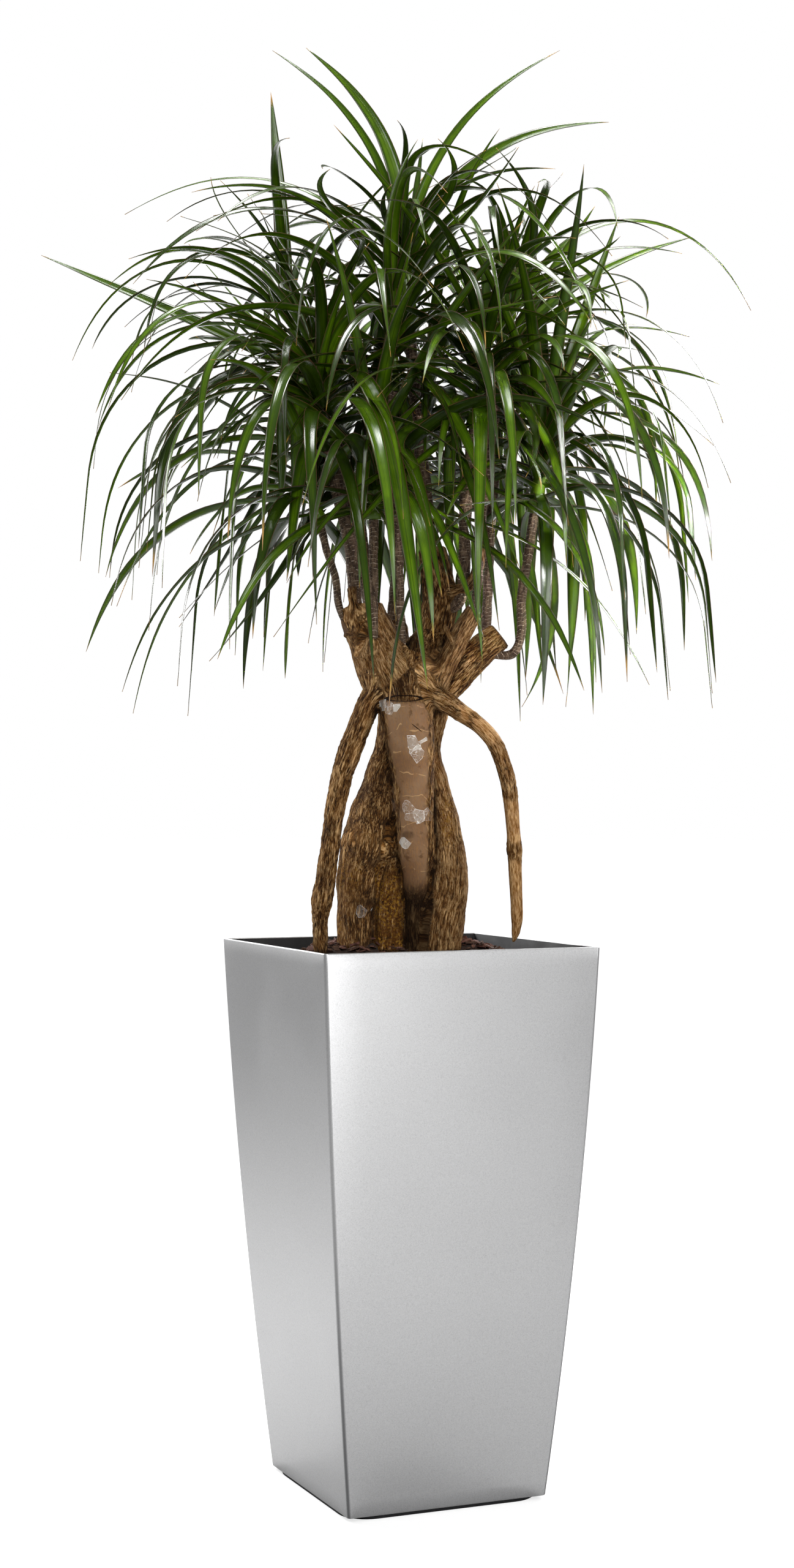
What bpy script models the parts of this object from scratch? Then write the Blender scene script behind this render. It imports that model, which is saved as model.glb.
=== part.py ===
"""A potted dragon tree in a tall square planter, as closed solids in metres, +Z up.

The planter's foot stands on the ground plane and its axis is the Z axis. The planter's faces look
along X and Y. The plant stands turned on them, so its own places are given across (to its right),
towards (to its front) and up.

Run it with: blender --background --python part.py
"""

import math
import random
from functools import partial

import bmesh
import bpy
from mathutils import Matrix, Vector
from mathutils.bvhtree import BVHTree

# Planter: a square shell whose flanks bow outwards from a narrow base to a wide rim
FOOT_HEIGHT = 0.005
FOOT_HALF = 0.143
FOOT_CORNER = 0.040
SHELL_HEIGHT = 0.750
BASE_HALF = 0.146
RIM_HALF = 0.2015
FLARE = 0.105
WALL = 0.0045
FLOOR = 0.005
EDGE_RADIUS = 0.006
SHELL_RINGS = 4
CORNER_STEPS = 3
SHARP_ANGLE = math.radians(40.0)

# Liner: a black tub that hangs by its flange on a ledge inside the shell
LEDGE_TOP = 0.724
LEDGE_HEIGHT = 0.005
LEDGE_WIDTH = 0.009
LINER_FLANGE = 0.003
LINER_SIDE_PLAY = 0.0008
LINER_WALL = 0.003
LINER_FLOOR_TOP = 0.333
LINER_BASE_HALF = 0.150
LINER_NECK_PLAY = 0.002
INNER_RADIUS = 0.002

# Soil: fills the liner and rises to a low mound round the trunks
SOIL_EDGE = 0.712
SOIL_CENTRE = 0.748
SOIL_RINGS = 2
SOIL_TOP_SHARE = 0.6

FIT_GAP = 0.0003
SOCKET_GAP = 0.0004

# The plant's front is turned this far from the planter's front face
PLANT_TURN = math.radians(23.0)

# Trunks, root spurs and stumps that have grown into one woody body.
# Each is a number of sides, and a route of (across, towards, up, radius)
LIMBS = {
    "front_trunk": (9, [
        (0.010, 0.032, 0.700, 0.007), (0.012, 0.034, 0.752, 0.009), (0.012, 0.037, 0.803, 0.012),
        (0.014, 0.040, 0.842, 0.018), (0.014, 0.043, 0.885, 0.0250), (0.012, 0.045, 0.932, 0.0255),
        (0.010, 0.044, 0.985, 0.029), (0.006, 0.042, 1.034, 0.034), (0.000, 0.036, 1.078, 0.0365),
        (-0.001, 0.028, 1.092, 0.034),
    ]),
    "left_trunk": (9, [
        (-0.066, 0.006, 0.672, 0.022), (-0.068, 0.006, 0.745, 0.0275), (-0.068, 0.004, 0.800, 0.0285),
        (-0.063, 0.000, 0.848, 0.0335), (-0.052, -0.006, 0.888, 0.0410), (-0.045, -0.010, 0.930, 0.0345),
        (-0.036, -0.010, 0.982, 0.0240), (-0.025, -0.008, 1.034, 0.0175), (-0.016, 0.000, 1.090, 0.0220),
    ]),
    "right_trunk": (9, [
        (0.046, 0.018, 0.672, 0.024), (0.047, 0.018, 0.745, 0.0305), (0.050, 0.016, 0.785, 0.0320),
        (0.055, 0.014, 0.825, 0.0305), (0.056, 0.010, 0.866, 0.0290), (0.051, 0.008, 0.915, 0.0250),
        (0.041, 0.006, 0.972, 0.0195), (0.031, 0.006, 1.024, 0.0175), (0.038, 0.004, 1.085, 0.0220),
    ]),
    "root_stub": (7, [
        (-0.046, 0.010, 0.684, 0.017), (-0.023, 0.018, 0.742, 0.0230), (-0.020, 0.018, 0.790, 0.0215),
        (-0.018, 0.020, 0.832, 0.0185), (-0.015, 0.022, 0.874, 0.0090),
    ]),
    "left_root": (6, [
        (-0.116, 0.036, 0.695, 0.0080), (-0.119, 0.036, 0.777, 0.0100), (-0.116, 0.036, 0.818, 0.0150),
        (-0.110, 0.036, 0.856, 0.0135), (-0.100, 0.034, 0.932, 0.0135), (-0.0905, 0.033, 0.982, 0.0145),
        (-0.0805, 0.031, 1.016, 0.0162), (-0.067, 0.029, 1.050, 0.0158), (-0.053, 0.026, 1.085, 0.0165),
        (-0.036, 0.018, 1.112, 0.0180),
    ]),
    "right_root": (6, [
        (0.006, 0.018, 1.098, 0.0120), (0.032, 0.032, 1.100, 0.0165), (0.054, 0.042, 1.090, 0.0150),
        (0.077, 0.046, 1.074, 0.0125), (0.101, 0.048, 1.057, 0.0112), (0.120, 0.050, 1.036, 0.0112),
        (0.132, 0.050, 1.010, 0.0110), (0.142, 0.050, 0.972, 0.0108), (0.148, 0.048, 0.912, 0.0096),
        (0.149, 0.048, 0.888, 0.0110), (0.150, 0.047, 0.868, 0.0096), (0.153, 0.045, 0.800, 0.0086),
        (0.152, 0.044, 0.775, 0.0066), (0.148, 0.044, 0.757, 0.0020),
    ]),
    "crown": (9, [
        (-0.008, 0.012, 1.070, 0.0330), (-0.004, 0.010, 1.088, 0.0480), (0.000, 0.006, 1.110, 0.0560),
        (0.004, 0.002, 1.134, 0.0520), (0.008, -0.002, 1.155, 0.0360),
    ]),
    "left_stump": (9, [
        (-0.010, 0.010, 1.096, 0.0400), (-0.030, 0.012, 1.140, 0.0400), (-0.047, 0.010, 1.182, 0.0350),
        (-0.058, 0.008, 1.205, 0.0330), (-0.062, 0.006, 1.224, 0.0300),
    ]),
    "centre_stump": (8, [
        (0.020, -0.010, 1.110, 0.0360), (0.030, -0.013, 1.158, 0.0330), (0.040, -0.014, 1.190, 0.0255),
        (0.048, -0.016, 1.230, 0.0250), (0.043, -0.018, 1.275, 0.0215), (0.036, -0.020, 1.308, 0.0190),
    ]),
    "pale_stump": (6, [
        (0.040, 0.012, 1.112, 0.0170), (0.062, 0.024, 1.156, 0.0150), (0.082, 0.032, 1.194, 0.0140),
        (0.096, 0.036, 1.218, 0.0130),
    ]),
    "right_stump": (8, [
        (0.034, -0.010, 1.096, 0.0250), (0.062, -0.016, 1.120, 0.0235), (0.085, -0.020, 1.145, 0.0230),
        (0.110, -0.022, 1.168, 0.0215), (0.133, -0.022, 1.186, 0.0195),
    ]),
    "back_stump": (7, [
        (-0.004, -0.012, 1.108, 0.0340), (-0.012, -0.040, 1.140, 0.0270), (-0.018, -0.062, 1.178, 0.0230),
        (-0.020, -0.070, 1.206, 0.0210),
    ]),
}
FEET = ("front_trunk", "left_trunk", "right_trunk", "root_stub", "left_root")

# Leafy stems: the cane's route of (across, towards, up), its radius at the foot and at the top,
# the length of the green tip that carries leaves, their number, and the longest leaf
STEMS = {
    "far_left": dict(
        route=[(-0.078, 0.014, 1.192), (-0.093, 0.016, 1.222), (-0.098, 0.016, 1.262),
               (-0.110, 0.016, 1.300), (-0.121, 0.016, 1.345)],
        radii=(0.0055, 0.0060), tip=0.075, leaves=19, reach=0.40),
    "left": dict(
        route=[(-0.068, 0.010, 1.206), (-0.073, 0.012, 1.262), (-0.079, 0.016, 1.318),
               (-0.094, 0.022, 1.380), (-0.105, 0.026, 1.440)],
        radii=(0.0095, 0.0105), tip=0.150, leaves=43, reach=0.56),
    "upper_left": dict(
        route=[(-0.050, -0.008, 1.206), (-0.056, -0.016, 1.280), (-0.070, -0.030, 1.370),
               (-0.098, -0.040, 1.460), (-0.124, -0.044, 1.530)],
        radii=(0.0075, 0.0085), tip=0.140, leaves=38, reach=0.54),
    "front": dict(
        route=[(-0.044, 0.040, 1.160), (-0.045, 0.052, 1.200), (-0.045, 0.056, 1.260),
               (-0.045, 0.058, 1.340)],
        radii=(0.0066, 0.0070), tip=0.105, leaves=28, reach=0.46),
    "front_centre": dict(
        route=[(-0.008, 0.014, 1.130), (-0.008, 0.022, 1.200), (-0.012, 0.026, 1.290),
               (-0.018, 0.032, 1.400), (-0.020, 0.042, 1.520)],
        radii=(0.0066, 0.0085), tip=0.130, leaves=37, reach=0.52),
    "top": dict(
        route=[(0.036, -0.020, 1.292), (0.030, -0.022, 1.370), (0.016, -0.020, 1.490),
               (0.006, -0.012, 1.610)],
        radii=(0.0095, 0.0090), tip=0.140, leaves=41, reach=0.48),
    "right_centre": dict(
        route=[(0.060, -0.004, 1.222), (0.076, 0.004, 1.236), (0.082, 0.008, 1.290),
               (0.084, 0.012, 1.380), (0.096, 0.020, 1.470)],
        radii=(0.0085, 0.0095), tip=0.130, leaves=42, reach=0.54),
    "upper_right": dict(
        route=[(0.092, 0.034, 1.204), (0.100, 0.028, 1.262), (0.106, 0.010, 1.350),
               (0.116, -0.010, 1.440), (0.132, -0.022, 1.530)],
        radii=(0.0062, 0.0080), tip=0.135, leaves=40, reach=0.54),
    "far_right": dict(
        route=[(0.124, -0.018, 1.158), (0.150, -0.014, 1.160), (0.162, -0.010, 1.190),
               (0.162, -0.006, 1.240), (0.172, 0.000, 1.300), (0.180, 0.004, 1.355)],
        radii=(0.0066, 0.0075), tip=0.115, leaves=38, reach=0.54),
    "back": dict(
        route=[(-0.020, -0.070, 1.190), (-0.014, -0.082, 1.270), (0.004, -0.096, 1.370),
               (0.018, -0.106, 1.470)],
        radii=(0.0085, 0.0090), tip=0.130, leaves=29, reach=0.54),
    "back_left": dict(
        route=[(-0.030, -0.060, 1.176), (-0.052, -0.074, 1.230), (-0.074, -0.090, 1.320),
               (-0.092, -0.104, 1.410)],
        radii=(0.0070, 0.0080), tip=0.115, leaves=25, reach=0.52),
    "back_right": dict(
        route=[(0.100, -0.036, 1.140), (0.112, -0.058, 1.170), (0.118, -0.078, 1.260),
               (0.122, -0.094, 1.350), (0.128, -0.106, 1.420)],
        radii=(0.0070, 0.0080), tip=0.115, leaves=24, reach=0.52),
}

# Leaves: they leave the stem on a golden-angle spiral. A leaf's rank runs from 0, the lowest and
# oldest, which starts out level and hangs, to 1, the youngest, which stands almost upright
GOLDEN_ANGLE = math.radians(137.508)
STEM_OFFSET = 2.4
RANK_POWER = 1.25
LOWEST_LEAF = 0.08
HIGHEST_LEAF = 0.95
LOW_TILT = 102.0
TILT_DROP = 94.0
TILT_POWER = 0.75
LEAST_TILT = 4.0
TILT_SPREAD = 7.0
TURN_SPREAD = 6.0
LOW_BEND = 54.0
MIDDLE_BEND = 42.0
BEND_ONSET = 1.3
STIFFENING = 42.0
LEAST_BEND = 4.0
BEND_SPREAD = 20.0
SWEEP_SPREAD = 16.0
ROLL_SPREAD = 12.0
TWIST_SPREAD = 45.0
MOST_LEAN = 174.0
EVEN_BEND = 0.35

# A blade is three-sided: two raised edges and a keel under its middle
LEAF_WIDTH = 0.0160
LEAF_RISE = 0.20
LEAF_KEEL = 0.0012
LEAF_STEPS = 50
ARCHED_STATIONS = (3, 13, 25, 38)
UPRIGHT_STATIONS = (3, 18, 36)
UPRIGHT_RANK = 0.52
UPRIGHT_BEND = 20.0
ROOT_DEPTH = 0.12
LEAF_CLEAR = 0.0004
WOOD_CLEAR = 0.0015
LEAF_TRIES = 60
TRIES_TO_DOUBLE = 6.0
SHORTEN = 0.008
SHORTEST = 0.55
CORE_SIDES = 6
CORE_SWELL = 0.0012
CORE_TAPER = 0.72
SEED = 47

# The crown is a dome: no common leaf reaches outside it
DOME_CENTRE = (-0.010, 0.0, 1.490)
DOME_REACH = 0.465
DOME_RISE = 0.410
DOME_FOOT = 1.075

# Single leaves that stand out of the crown: their stem, place on its tip, heading round the plant
# (0 to its right, 90 to its back), lean from upright at the root, bend to the tip, length, width
# and the roll that turns its face to the front
SINGLE_LEAVES = [
    ("top", 0.90, 182, 2, 50, 0.318, 0.020, -70), ("top", 0.80, 172, 10, 46, 0.360, 0.013, -55),
    ("top", 0.75, 4, 12, 50, 0.385, 0.013, 60), ("top", 0.60, -6, 20, 70, 0.380, 0.018, 65),
    ("top", 0.97, 40, 1, 5, 0.215, 0.016, 75), ("top", 0.35, 178, 28, 92, 0.480, 0.011, -30),
    ("upper_left", 0.97, 182, 3, 2, 0.305, 0.020, -80), ("upper_left", 0.20, 184, 65, 3, 0.415, 0.018, -65),
    ("upper_right", 0.55, 6, 46, 28, 0.310, 0.015, 60), ("upper_right", 0.70, 2, 20, 134, 0.470, 0.011, 40),
    ("upper_right", 0.45, -10, 30, 4, 0.235, 0.017, 70), ("far_right", 0.97, 0, 17, 3, 0.320, 0.018, 70),
    ("left", 0.30, -76, 82, 92, 0.58, 0.020, 0), ("left", 0.25, 248, 74, 98, 0.43, 0.019, 0),
    ("right_centre", 0.35, -84, 76, 96, 0.46, 0.017, 0),
    ("front_centre", 0.75, -52, 60, 80, 0.46, 0.017, 25),
]


def plant_point(across, towards, up):
    """A place given in the plant's own directions, in the planter's frame."""
    cos, sin = math.cos(PLANT_TURN), math.sin(PLANT_TURN)
    return Vector((across * cos - towards * sin, -across * sin - towards * cos, up))


def make_material(name, colour, roughness, metallic=0.0):
    """A plain finish."""
    material = bpy.data.materials.new(name)
    material.use_nodes = True
    shader = material.node_tree.nodes["Principled BSDF"]
    shader.inputs["Base Color"].default_value = (*colour, 1.0)
    shader.inputs["Roughness"].default_value = roughness
    shader.inputs["Metallic"].default_value = metallic
    return material


def add_object(name, mesh, material=None):
    """Links a mesh to the scene as an object."""
    made = bpy.data.objects.new(name, mesh)
    bpy.context.scene.collection.objects.link(made)
    if material:
        mesh.materials.append(material)
    return made


def dress(made, material):
    """Gives a joined object its one finish."""
    made.data.materials.clear()
    made.data.materials.append(material)


def loft(name, rings, material=None, smooth=False):
    """A closed solid through rings of equal count, capped at both ends."""
    shape = bmesh.new()
    made = [[shape.verts.new(point) for point in ring] for ring in rings]
    count = len(rings[0])
    for lower, upper in zip(made, made[1:]):
        for i in range(count):
            j = (i + 1) % count
            shape.faces.new((lower[i], lower[j], upper[j]))
            shape.faces.new((lower[i], upper[j], upper[i]))
    shape.faces.new(list(reversed(made[0])))
    shape.faces.new(made[-1])
    bmesh.ops.recalc_face_normals(shape, faces=shape.faces)
    mesh = bpy.data.meshes.new(name)
    shape.to_mesh(mesh)
    shape.free()
    if smooth:
        mesh.shade_smooth()
        mesh.set_sharp_from_angle(angle=SHARP_ANGLE)
    return add_object(name, mesh, material)


def boolean(body, others, operation, solver="EXACT"):
    """Joins the others to a body, or cuts them from it, and removes them."""
    group = bpy.data.collections.new(body.name + "_" + operation.lower())
    bpy.context.scene.collection.children.link(group)
    for other in others:
        group.objects.link(other)
    modifier = body.modifiers.new(operation.title(), "BOOLEAN")
    modifier.operation = operation
    modifier.operand_type = "COLLECTION"
    modifier.collection = group
    modifier.solver = solver
    graph = bpy.context.evaluated_depsgraph_get()
    joined = bpy.data.meshes.new_from_object(body.evaluated_get(graph))
    body.modifiers.clear()
    body.data = joined
    for other in others:
        bpy.data.objects.remove(other)
    bpy.data.collections.remove(group)
    return body


def rounded_square(half, radius, height, steps=CORNER_STEPS):
    """A level ring: a square of this half width with round corners."""
    ring = []
    for corner in range(4):
        middle = math.radians(45.0 + 90.0 * corner)
        reach = (half - radius) * math.sqrt(2.0)
        centre = Vector((math.cos(middle) * reach, math.sin(middle) * reach, height))
        for step in range(steps + 1):
            angle = middle + math.radians(-45.0 + 90.0 * step / steps)
            ring.append(centre + Vector((math.cos(angle), math.sin(angle), 0.0)) * radius)
    return ring


def flank_half(height):
    """Half the shell's outer width at a height above the ground."""
    rise = height - FOOT_HEIGHT
    bow = (BASE_HALF + FLARE * SHELL_HEIGHT - RIM_HALF) / SHELL_HEIGHT ** 2
    return BASE_HALF + FLARE * rise - bow * rise ** 2


def shell_ring(height, inset=0.0):
    """The shell's section at a height, drawn in by an inset."""
    radius = max(EDGE_RADIUS - inset, INNER_RADIUS)
    return rounded_square(flank_half(height) - inset, radius, height)


def build_shell(material):
    """The planter's outer shell with its foot, its floor and the ledge that the liner hangs on."""
    rim = FOOT_HEIGHT + SHELL_HEIGHT
    floor = FOOT_HEIGHT + FLOOR
    ledge_bottom = LEDGE_TOP - LEDGE_HEIGHT
    rings = [
        rounded_square(FOOT_HALF, FOOT_CORNER, 0.0),
        rounded_square(FOOT_HALF, FOOT_CORNER, FOOT_HEIGHT),
    ]
    rings += [shell_ring(FOOT_HEIGHT + SHELL_HEIGHT * i / SHELL_RINGS) for i in range(SHELL_RINGS + 1)]
    rings += [
        shell_ring(rim, WALL),
        shell_ring(LEDGE_TOP, WALL),
        shell_ring(LEDGE_TOP, WALL + LEDGE_WIDTH),
        shell_ring(ledge_bottom, WALL + LEDGE_WIDTH),
        shell_ring(ledge_bottom - LEDGE_WIDTH, WALL),
    ]
    heights = [FOOT_HEIGHT + SHELL_HEIGHT * i / SHELL_RINGS for i in range(SHELL_RINGS - 1, 0, -1)]
    rings += [shell_ring(height, WALL) for height in heights]
    rings.append(shell_ring(floor, WALL))
    return loft("planter_shell", rings, material, smooth=True)


def liner_half(height, inset=0.0):
    """Half the liner's outer width at a height, drawn in by an inset."""
    neck = flank_half(LEDGE_TOP) - WALL - LEDGE_WIDTH - LINER_NECK_PLAY
    base = LINER_FLOOR_TOP - LINER_WALL
    share = (height - base) / (LEDGE_TOP - base)
    return LINER_BASE_HALF + (neck - LINER_BASE_HALF) * share - inset


def build_liner(material):
    """The black tub that holds the soil."""
    flange_low = LEDGE_TOP + FIT_GAP
    flange_top = flange_low + LINER_FLANGE
    flange_half = flank_half(LEDGE_TOP) - WALL - LINER_SIDE_PLAY
    base = LINER_FLOOR_TOP - LINER_WALL
    neck = liner_half(LEDGE_TOP)
    rings = [
        rounded_square(liner_half(base), EDGE_RADIUS, base),
        rounded_square(neck, EDGE_RADIUS, flange_low),
        rounded_square(flange_half, INNER_RADIUS, flange_low),
        rounded_square(flange_half, INNER_RADIUS, flange_top),
        rounded_square(neck - LINER_WALL, EDGE_RADIUS, flange_top),
        rounded_square(liner_half(LINER_FLOOR_TOP, LINER_WALL), EDGE_RADIUS, LINER_FLOOR_TOP),
    ]
    return loft("liner", rings, material, smooth=True)


def build_soil(material, feet):
    """The soil: the liner's inside up to a mound, with a plain hole for each foot of the trunk."""
    inset = LINER_WALL + FIT_GAP
    bottom = LINER_FLOOR_TOP + FIT_GAP
    edge = liner_half(SOIL_EDGE, inset)
    rings = [
        rounded_square(liner_half(bottom, inset), EDGE_RADIUS, bottom),
        rounded_square(edge, EDGE_RADIUS, SOIL_EDGE),
    ]
    for i in range(1, SOIL_RINGS + 1):
        share = 1.0 - i / (SOIL_RINGS + SOIL_TOP_SHARE)
        height = SOIL_CENTRE - (SOIL_CENTRE - SOIL_EDGE) * share ** 2
        corner = edge * share * (1.0 - share) + EDGE_RADIUS * share
        rings.append(rounded_square(edge * share, corner, height))
    return boolean(loft("soil", rings, material), feet, "DIFFERENCE")


def limb_rings(route, radii, sides, grow=0.0):
    """Rings square to a route, their first point carried along it without twist."""
    rings = []
    last = len(route) - 1
    spoke = None
    for i, (place, radius) in enumerate(zip(route, radii)):
        heading = (route[min(i + 1, last)] - route[max(i - 1, 0)]).normalized()
        if spoke is None:
            spoke = heading.orthogonal()
        spoke = (spoke - heading * spoke.dot(heading)).normalized()
        other = heading.cross(spoke)
        turns = (2.0 * math.pi * side / sides for side in range(sides))
        rings.append([place + (spoke * math.cos(a) + other * math.sin(a)) * (radius + grow) for a in turns])
    return rings


def build_limb(name):
    """One trunk, root or stump of the woody body."""
    sides, stations = LIMBS[name]
    route = [plant_point(*station[:3]) for station in stations]
    return loft(name, limb_rings(route, [station[3] for station in stations], sides))


def build_foot_cutter(name):
    """The hole that a foot of the trunk needs in the soil, a little wider and deeper than the foot."""
    sides, stations = LIMBS[name]
    route = [plant_point(*station[:3]) for station in stations]
    route[0] += (route[0] - route[1]).normalized() * SOCKET_GAP
    radii = [station[3] for station in stations]
    return loft("hole_" + name, limb_rings(route, radii, sides, SOCKET_GAP))


def cane_route(stem):
    """The cane's places in the planter's frame, and its radius at each."""
    route = [plant_point(*place) for place in stem["route"]]
    foot, top = stem["radii"]
    last = len(route) - 1
    return route, [foot + (top - foot) * i / last for i in range(len(route))]


def build_cane(name, stem, material):
    """A bare cane from its socket in the trunk up to its green tip."""
    route, radii = cane_route(stem)
    return loft("cane_" + name, limb_rings(route, radii, CORE_SIDES), material)


def build_socket_cutter(name, stem):
    """The socket that a cane's foot needs in the trunk."""
    route, radii = cane_route(stem)
    route[0] += (route[0] - route[1]).normalized() * SOCKET_GAP
    return loft("socket_" + name, limb_rings(route, radii, CORE_SIDES, SOCKET_GAP))


def tip_axis(stem):
    """The start and the direction of a stem's green tip."""
    below, end = (plant_point(*place) for place in stem["route"][-2:])
    heading = (end - below).normalized()
    return end + heading * FIT_GAP, heading


def core_radius(stem, share):
    """The green tip's radius at a share of its length: it swells over the cane, then closes."""
    return (stem["radii"][1] + CORE_SWELL) * (1.0 - CORE_TAPER * share ** 1.6)


def build_core(name, stem):
    """The green tip that the leaves are sunk into."""
    start, heading = tip_axis(stem)
    shares = (0.0, 0.5, 1.0)
    route = [start + heading * stem["tip"] * share for share in shares]
    return loft("leaves_" + name, limb_rings(route, [core_radius(stem, s) for s in shares], CORE_SIDES))


def leaf_path(root, azimuth, tilt, length, bend, sweep):
    """The places, azimuths and tilts along a leaf that arches over under its own weight."""
    place = root.copy()
    step = length / LEAF_STEPS
    path = []
    for i in range(LEAF_STEPS + 1):
        share = i / LEAF_STEPS
        ease = share * share * (3.0 - 2.0 * share)
        heading = azimuth + sweep * share * share
        lean = min(tilt + bend * (EVEN_BEND * share + (1.0 - EVEN_BEND) * ease), math.radians(MOST_LEAN))
        path.append((place.copy(), heading, lean))
        flat = math.sin(lean)
        place = place + Vector((math.cos(heading) * flat, math.sin(heading) * flat, math.cos(lean))) * step
    return path


def leaf_width(share):
    """The blade's width at a share of its length, as a part of its widest."""
    if share < 0.2:
        return 0.72 + 0.28 * share / 0.2
    return (1.0 - ((share - 0.2) / 0.8) ** 1.7) ** 0.9


def leaf_points(leaf, grow=0.0):
    """The corners of a three-sided blade: its root, two edges and a keel at each station, its tip."""
    path = leaf_path(*leaf["path"])
    points = [path[0][0]]
    for station in leaf["stations"]:
        place, heading, lean = path[station]
        share = station / LEAF_STEPS
        flat = math.sin(lean)
        along = Vector((math.cos(heading) * flat, math.sin(heading) * flat, math.cos(lean)))
        level = Vector((-math.sin(heading), math.cos(heading), 0.0))
        roll = Matrix.Rotation(leaf["roll"] + leaf["twist"] * share, 3, along)
        side = roll @ level
        face = along.cross(side)
        half = 0.5 * leaf["width"] * leaf_width(share) + grow
        rise = face * (LEAF_RISE * half + grow)
        keel = face * (LEAF_KEEL + grow)
        points += [place + side * half + rise, place - side * half + rise, place - keel]
    points.append(path[LEAF_STEPS][0])
    return points


def leaf_faces(rings):
    """The triangles of a blade with this number of rings between its root and its tip."""
    faces = [(0, 1 + (i + 1) % 3, 1 + i) for i in range(3)]
    for ring in range(rings - 1):
        low, high = 3 * ring + 1, 3 * ring + 4
        for i in range(3):
            j = (i + 1) % 3
            faces += [(low + i, low + j, high + j), (low + i, high + j, high + i)]
    top, tip = 3 * rings - 2, 3 * rings + 1
    faces += [(top + i, top + (i + 1) % 3, tip) for i in range(3)]
    return faces


BLADE_FACES = {3 * len(rings) + 2: leaf_faces(len(rings)) for rings in (ARCHED_STATIONS, UPRIGHT_STATIONS)}


def blade_trees(points):
    """Search trees over a whole blade, and over the blade without its root."""
    faces = BLADE_FACES[len(points)]
    return BVHTree.FromPolygons(points, faces), BVHTree.FromPolygons(points, faces[3:])


def wood_tree(solid):
    """A search tree over a solid that the leaves keep clear of, a little larger than the solid."""
    mesh = solid.data
    points = [vertex.co + vertex.normal * WOOD_CLEAR for vertex in mesh.vertices]
    return BVHTree.FromPolygons(points, [tuple(face.vertices) for face in mesh.polygons])


class Canopy:
    """Places every leaf so that it crosses no other leaf, cane, tip or trunk."""

    def __init__(self, wood, cores):
        self.wood = wood
        self.cores = cores
        self.standing = {name: [] for name in STEMS}
        self.leaves = {name: [] for name in STEMS}

    def is_clear(self, name, points):
        """Whether a blade touches nothing that already stands. Roots may meet inside their own stem."""
        whole, open_part = blade_trees(points)
        if any(whole.overlap(tree) for tree in self.wood):
            return False
        if any(whole.overlap(tree) for other, tree in self.cores.items() if other != name):
            return False
        for other, blades in self.standing.items():
            if other == name and any(open_part.overlap(blade[1]) for blade in blades):
                return False
            if other != name and any(whole.overlap(blade[0]) for blade in blades):
                return False
        return True

    def place(self, name, key, make, inside_only):
        """Tries the leaves that make draws until one stands clear, and keeps that one."""
        draw = random.Random(key).uniform
        for attempt in range(LEAF_TRIES):
            leaf = make(draw, attempt)
            points = leaf_points(leaf, LEAF_CLEAR)
            if (not inside_only or is_inside_dome(points)) and self.is_clear(name, points):
                self.leaves[name].append(leaf)
                self.standing[name].append(blade_trees(leaf_points(leaf)))
                return

    def grow_all(self):
        """Sets the single leaves, then fills every stem from its top down, the stems in turn."""
        for i, row in enumerate(SINGLE_LEAVES):
            self.place(row[0], SEED + i, partial(single_leaf, row), False)
        for order in range(max(stem["leaves"] for stem in STEMS.values())):
            for i, (name, stem) in enumerate(STEMS.items()):
                if order < stem["leaves"]:
                    key = SEED + 1000 * (i + 1) + order
                    self.place(name, key, partial(common_leaf, stem, STEM_OFFSET * i, order), True)
        return self.leaves


def is_inside_dome(points):
    """Whether a blade stays inside the crown's dome."""
    for point in points:
        away = point - Vector(DOME_CENTRE)
        reach = math.hypot(away.x, away.y) / DOME_REACH
        rise = max(away.z, 0.0) / DOME_RISE
        if reach ** 2 + rise ** 2 > 1.0 or point.z < DOME_FOOT:
            return False
    return True


def sprout(stem, place, way, length, bend, sweep, **blade):
    """A leaf fixed to a stem's tip at a share of its length, setting off in a direction."""
    start, heading = tip_axis(stem)
    outward = (way - heading * way.dot(heading)).normalized()
    root = start + heading * stem["tip"] * place + outward * core_radius(stem, place) * ROOT_DEPTH
    tilt = math.acos(max(-1.0, min(1.0, way.z)))
    return dict(blade, path=(root, math.atan2(way.y, way.x), tilt, length, math.radians(bend), sweep))


def common_leaf(stem, offset, order, draw, attempt):
    """One of a stem's leaves, counted from its top. Later attempts stray further and are shorter."""
    heading = tip_axis(stem)[1]
    loosen = 1.0 + attempt / TRIES_TO_DOUBLE
    share = 1.0 - order / (stem["leaves"] - 1)
    turn = offset - GOLDEN_ANGLE * order + math.radians(draw(-TURN_SPREAD, TURN_SPREAD)) * loosen
    rank = share ** RANK_POWER
    tilt = LOW_TILT - TILT_DROP * rank ** TILT_POWER + draw(-TILT_SPREAD, TILT_SPREAD) * loosen
    tilt = math.radians(max(tilt, LEAST_TILT))
    bend = LOW_BEND + MIDDLE_BEND * math.sin(math.pi * min(1.0, BEND_ONSET * rank)) - STIFFENING * rank ** 2
    bend += draw(-BEND_SPREAD, BEND_SPREAD) * loosen
    length = stem["reach"] * (1.06 - 0.06 * rank - 0.22 * rank ** 3) * draw(0.84, 1.06)
    outward = Vector((math.cos(turn), math.sin(turn), 0.0))
    outward = (outward - heading * outward.dot(heading)).normalized()
    way = (heading * math.cos(tilt) + outward * math.sin(tilt)).normalized()
    width = LEAF_WIDTH * (0.78 + 0.22 * math.sin(math.pi * min(1.0, rank + 0.2)))
    return sprout(
        stem, LOWEST_LEAF + (HIGHEST_LEAF - LOWEST_LEAF) * rank, way,
        length * max(SHORTEST, 1.0 - SHORTEN * attempt), max(bend, LEAST_BEND),
        math.radians(draw(-SWEEP_SPREAD, SWEEP_SPREAD)) * loosen,
        width=width * draw(0.82, 1.16),
        roll=math.radians(draw(-ROLL_SPREAD, ROLL_SPREAD)),
        twist=math.radians(draw(-TWIST_SPREAD, TWIST_SPREAD)),
        stations=UPRIGHT_STATIONS if rank > UPRIGHT_RANK else ARCHED_STATIONS)


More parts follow.
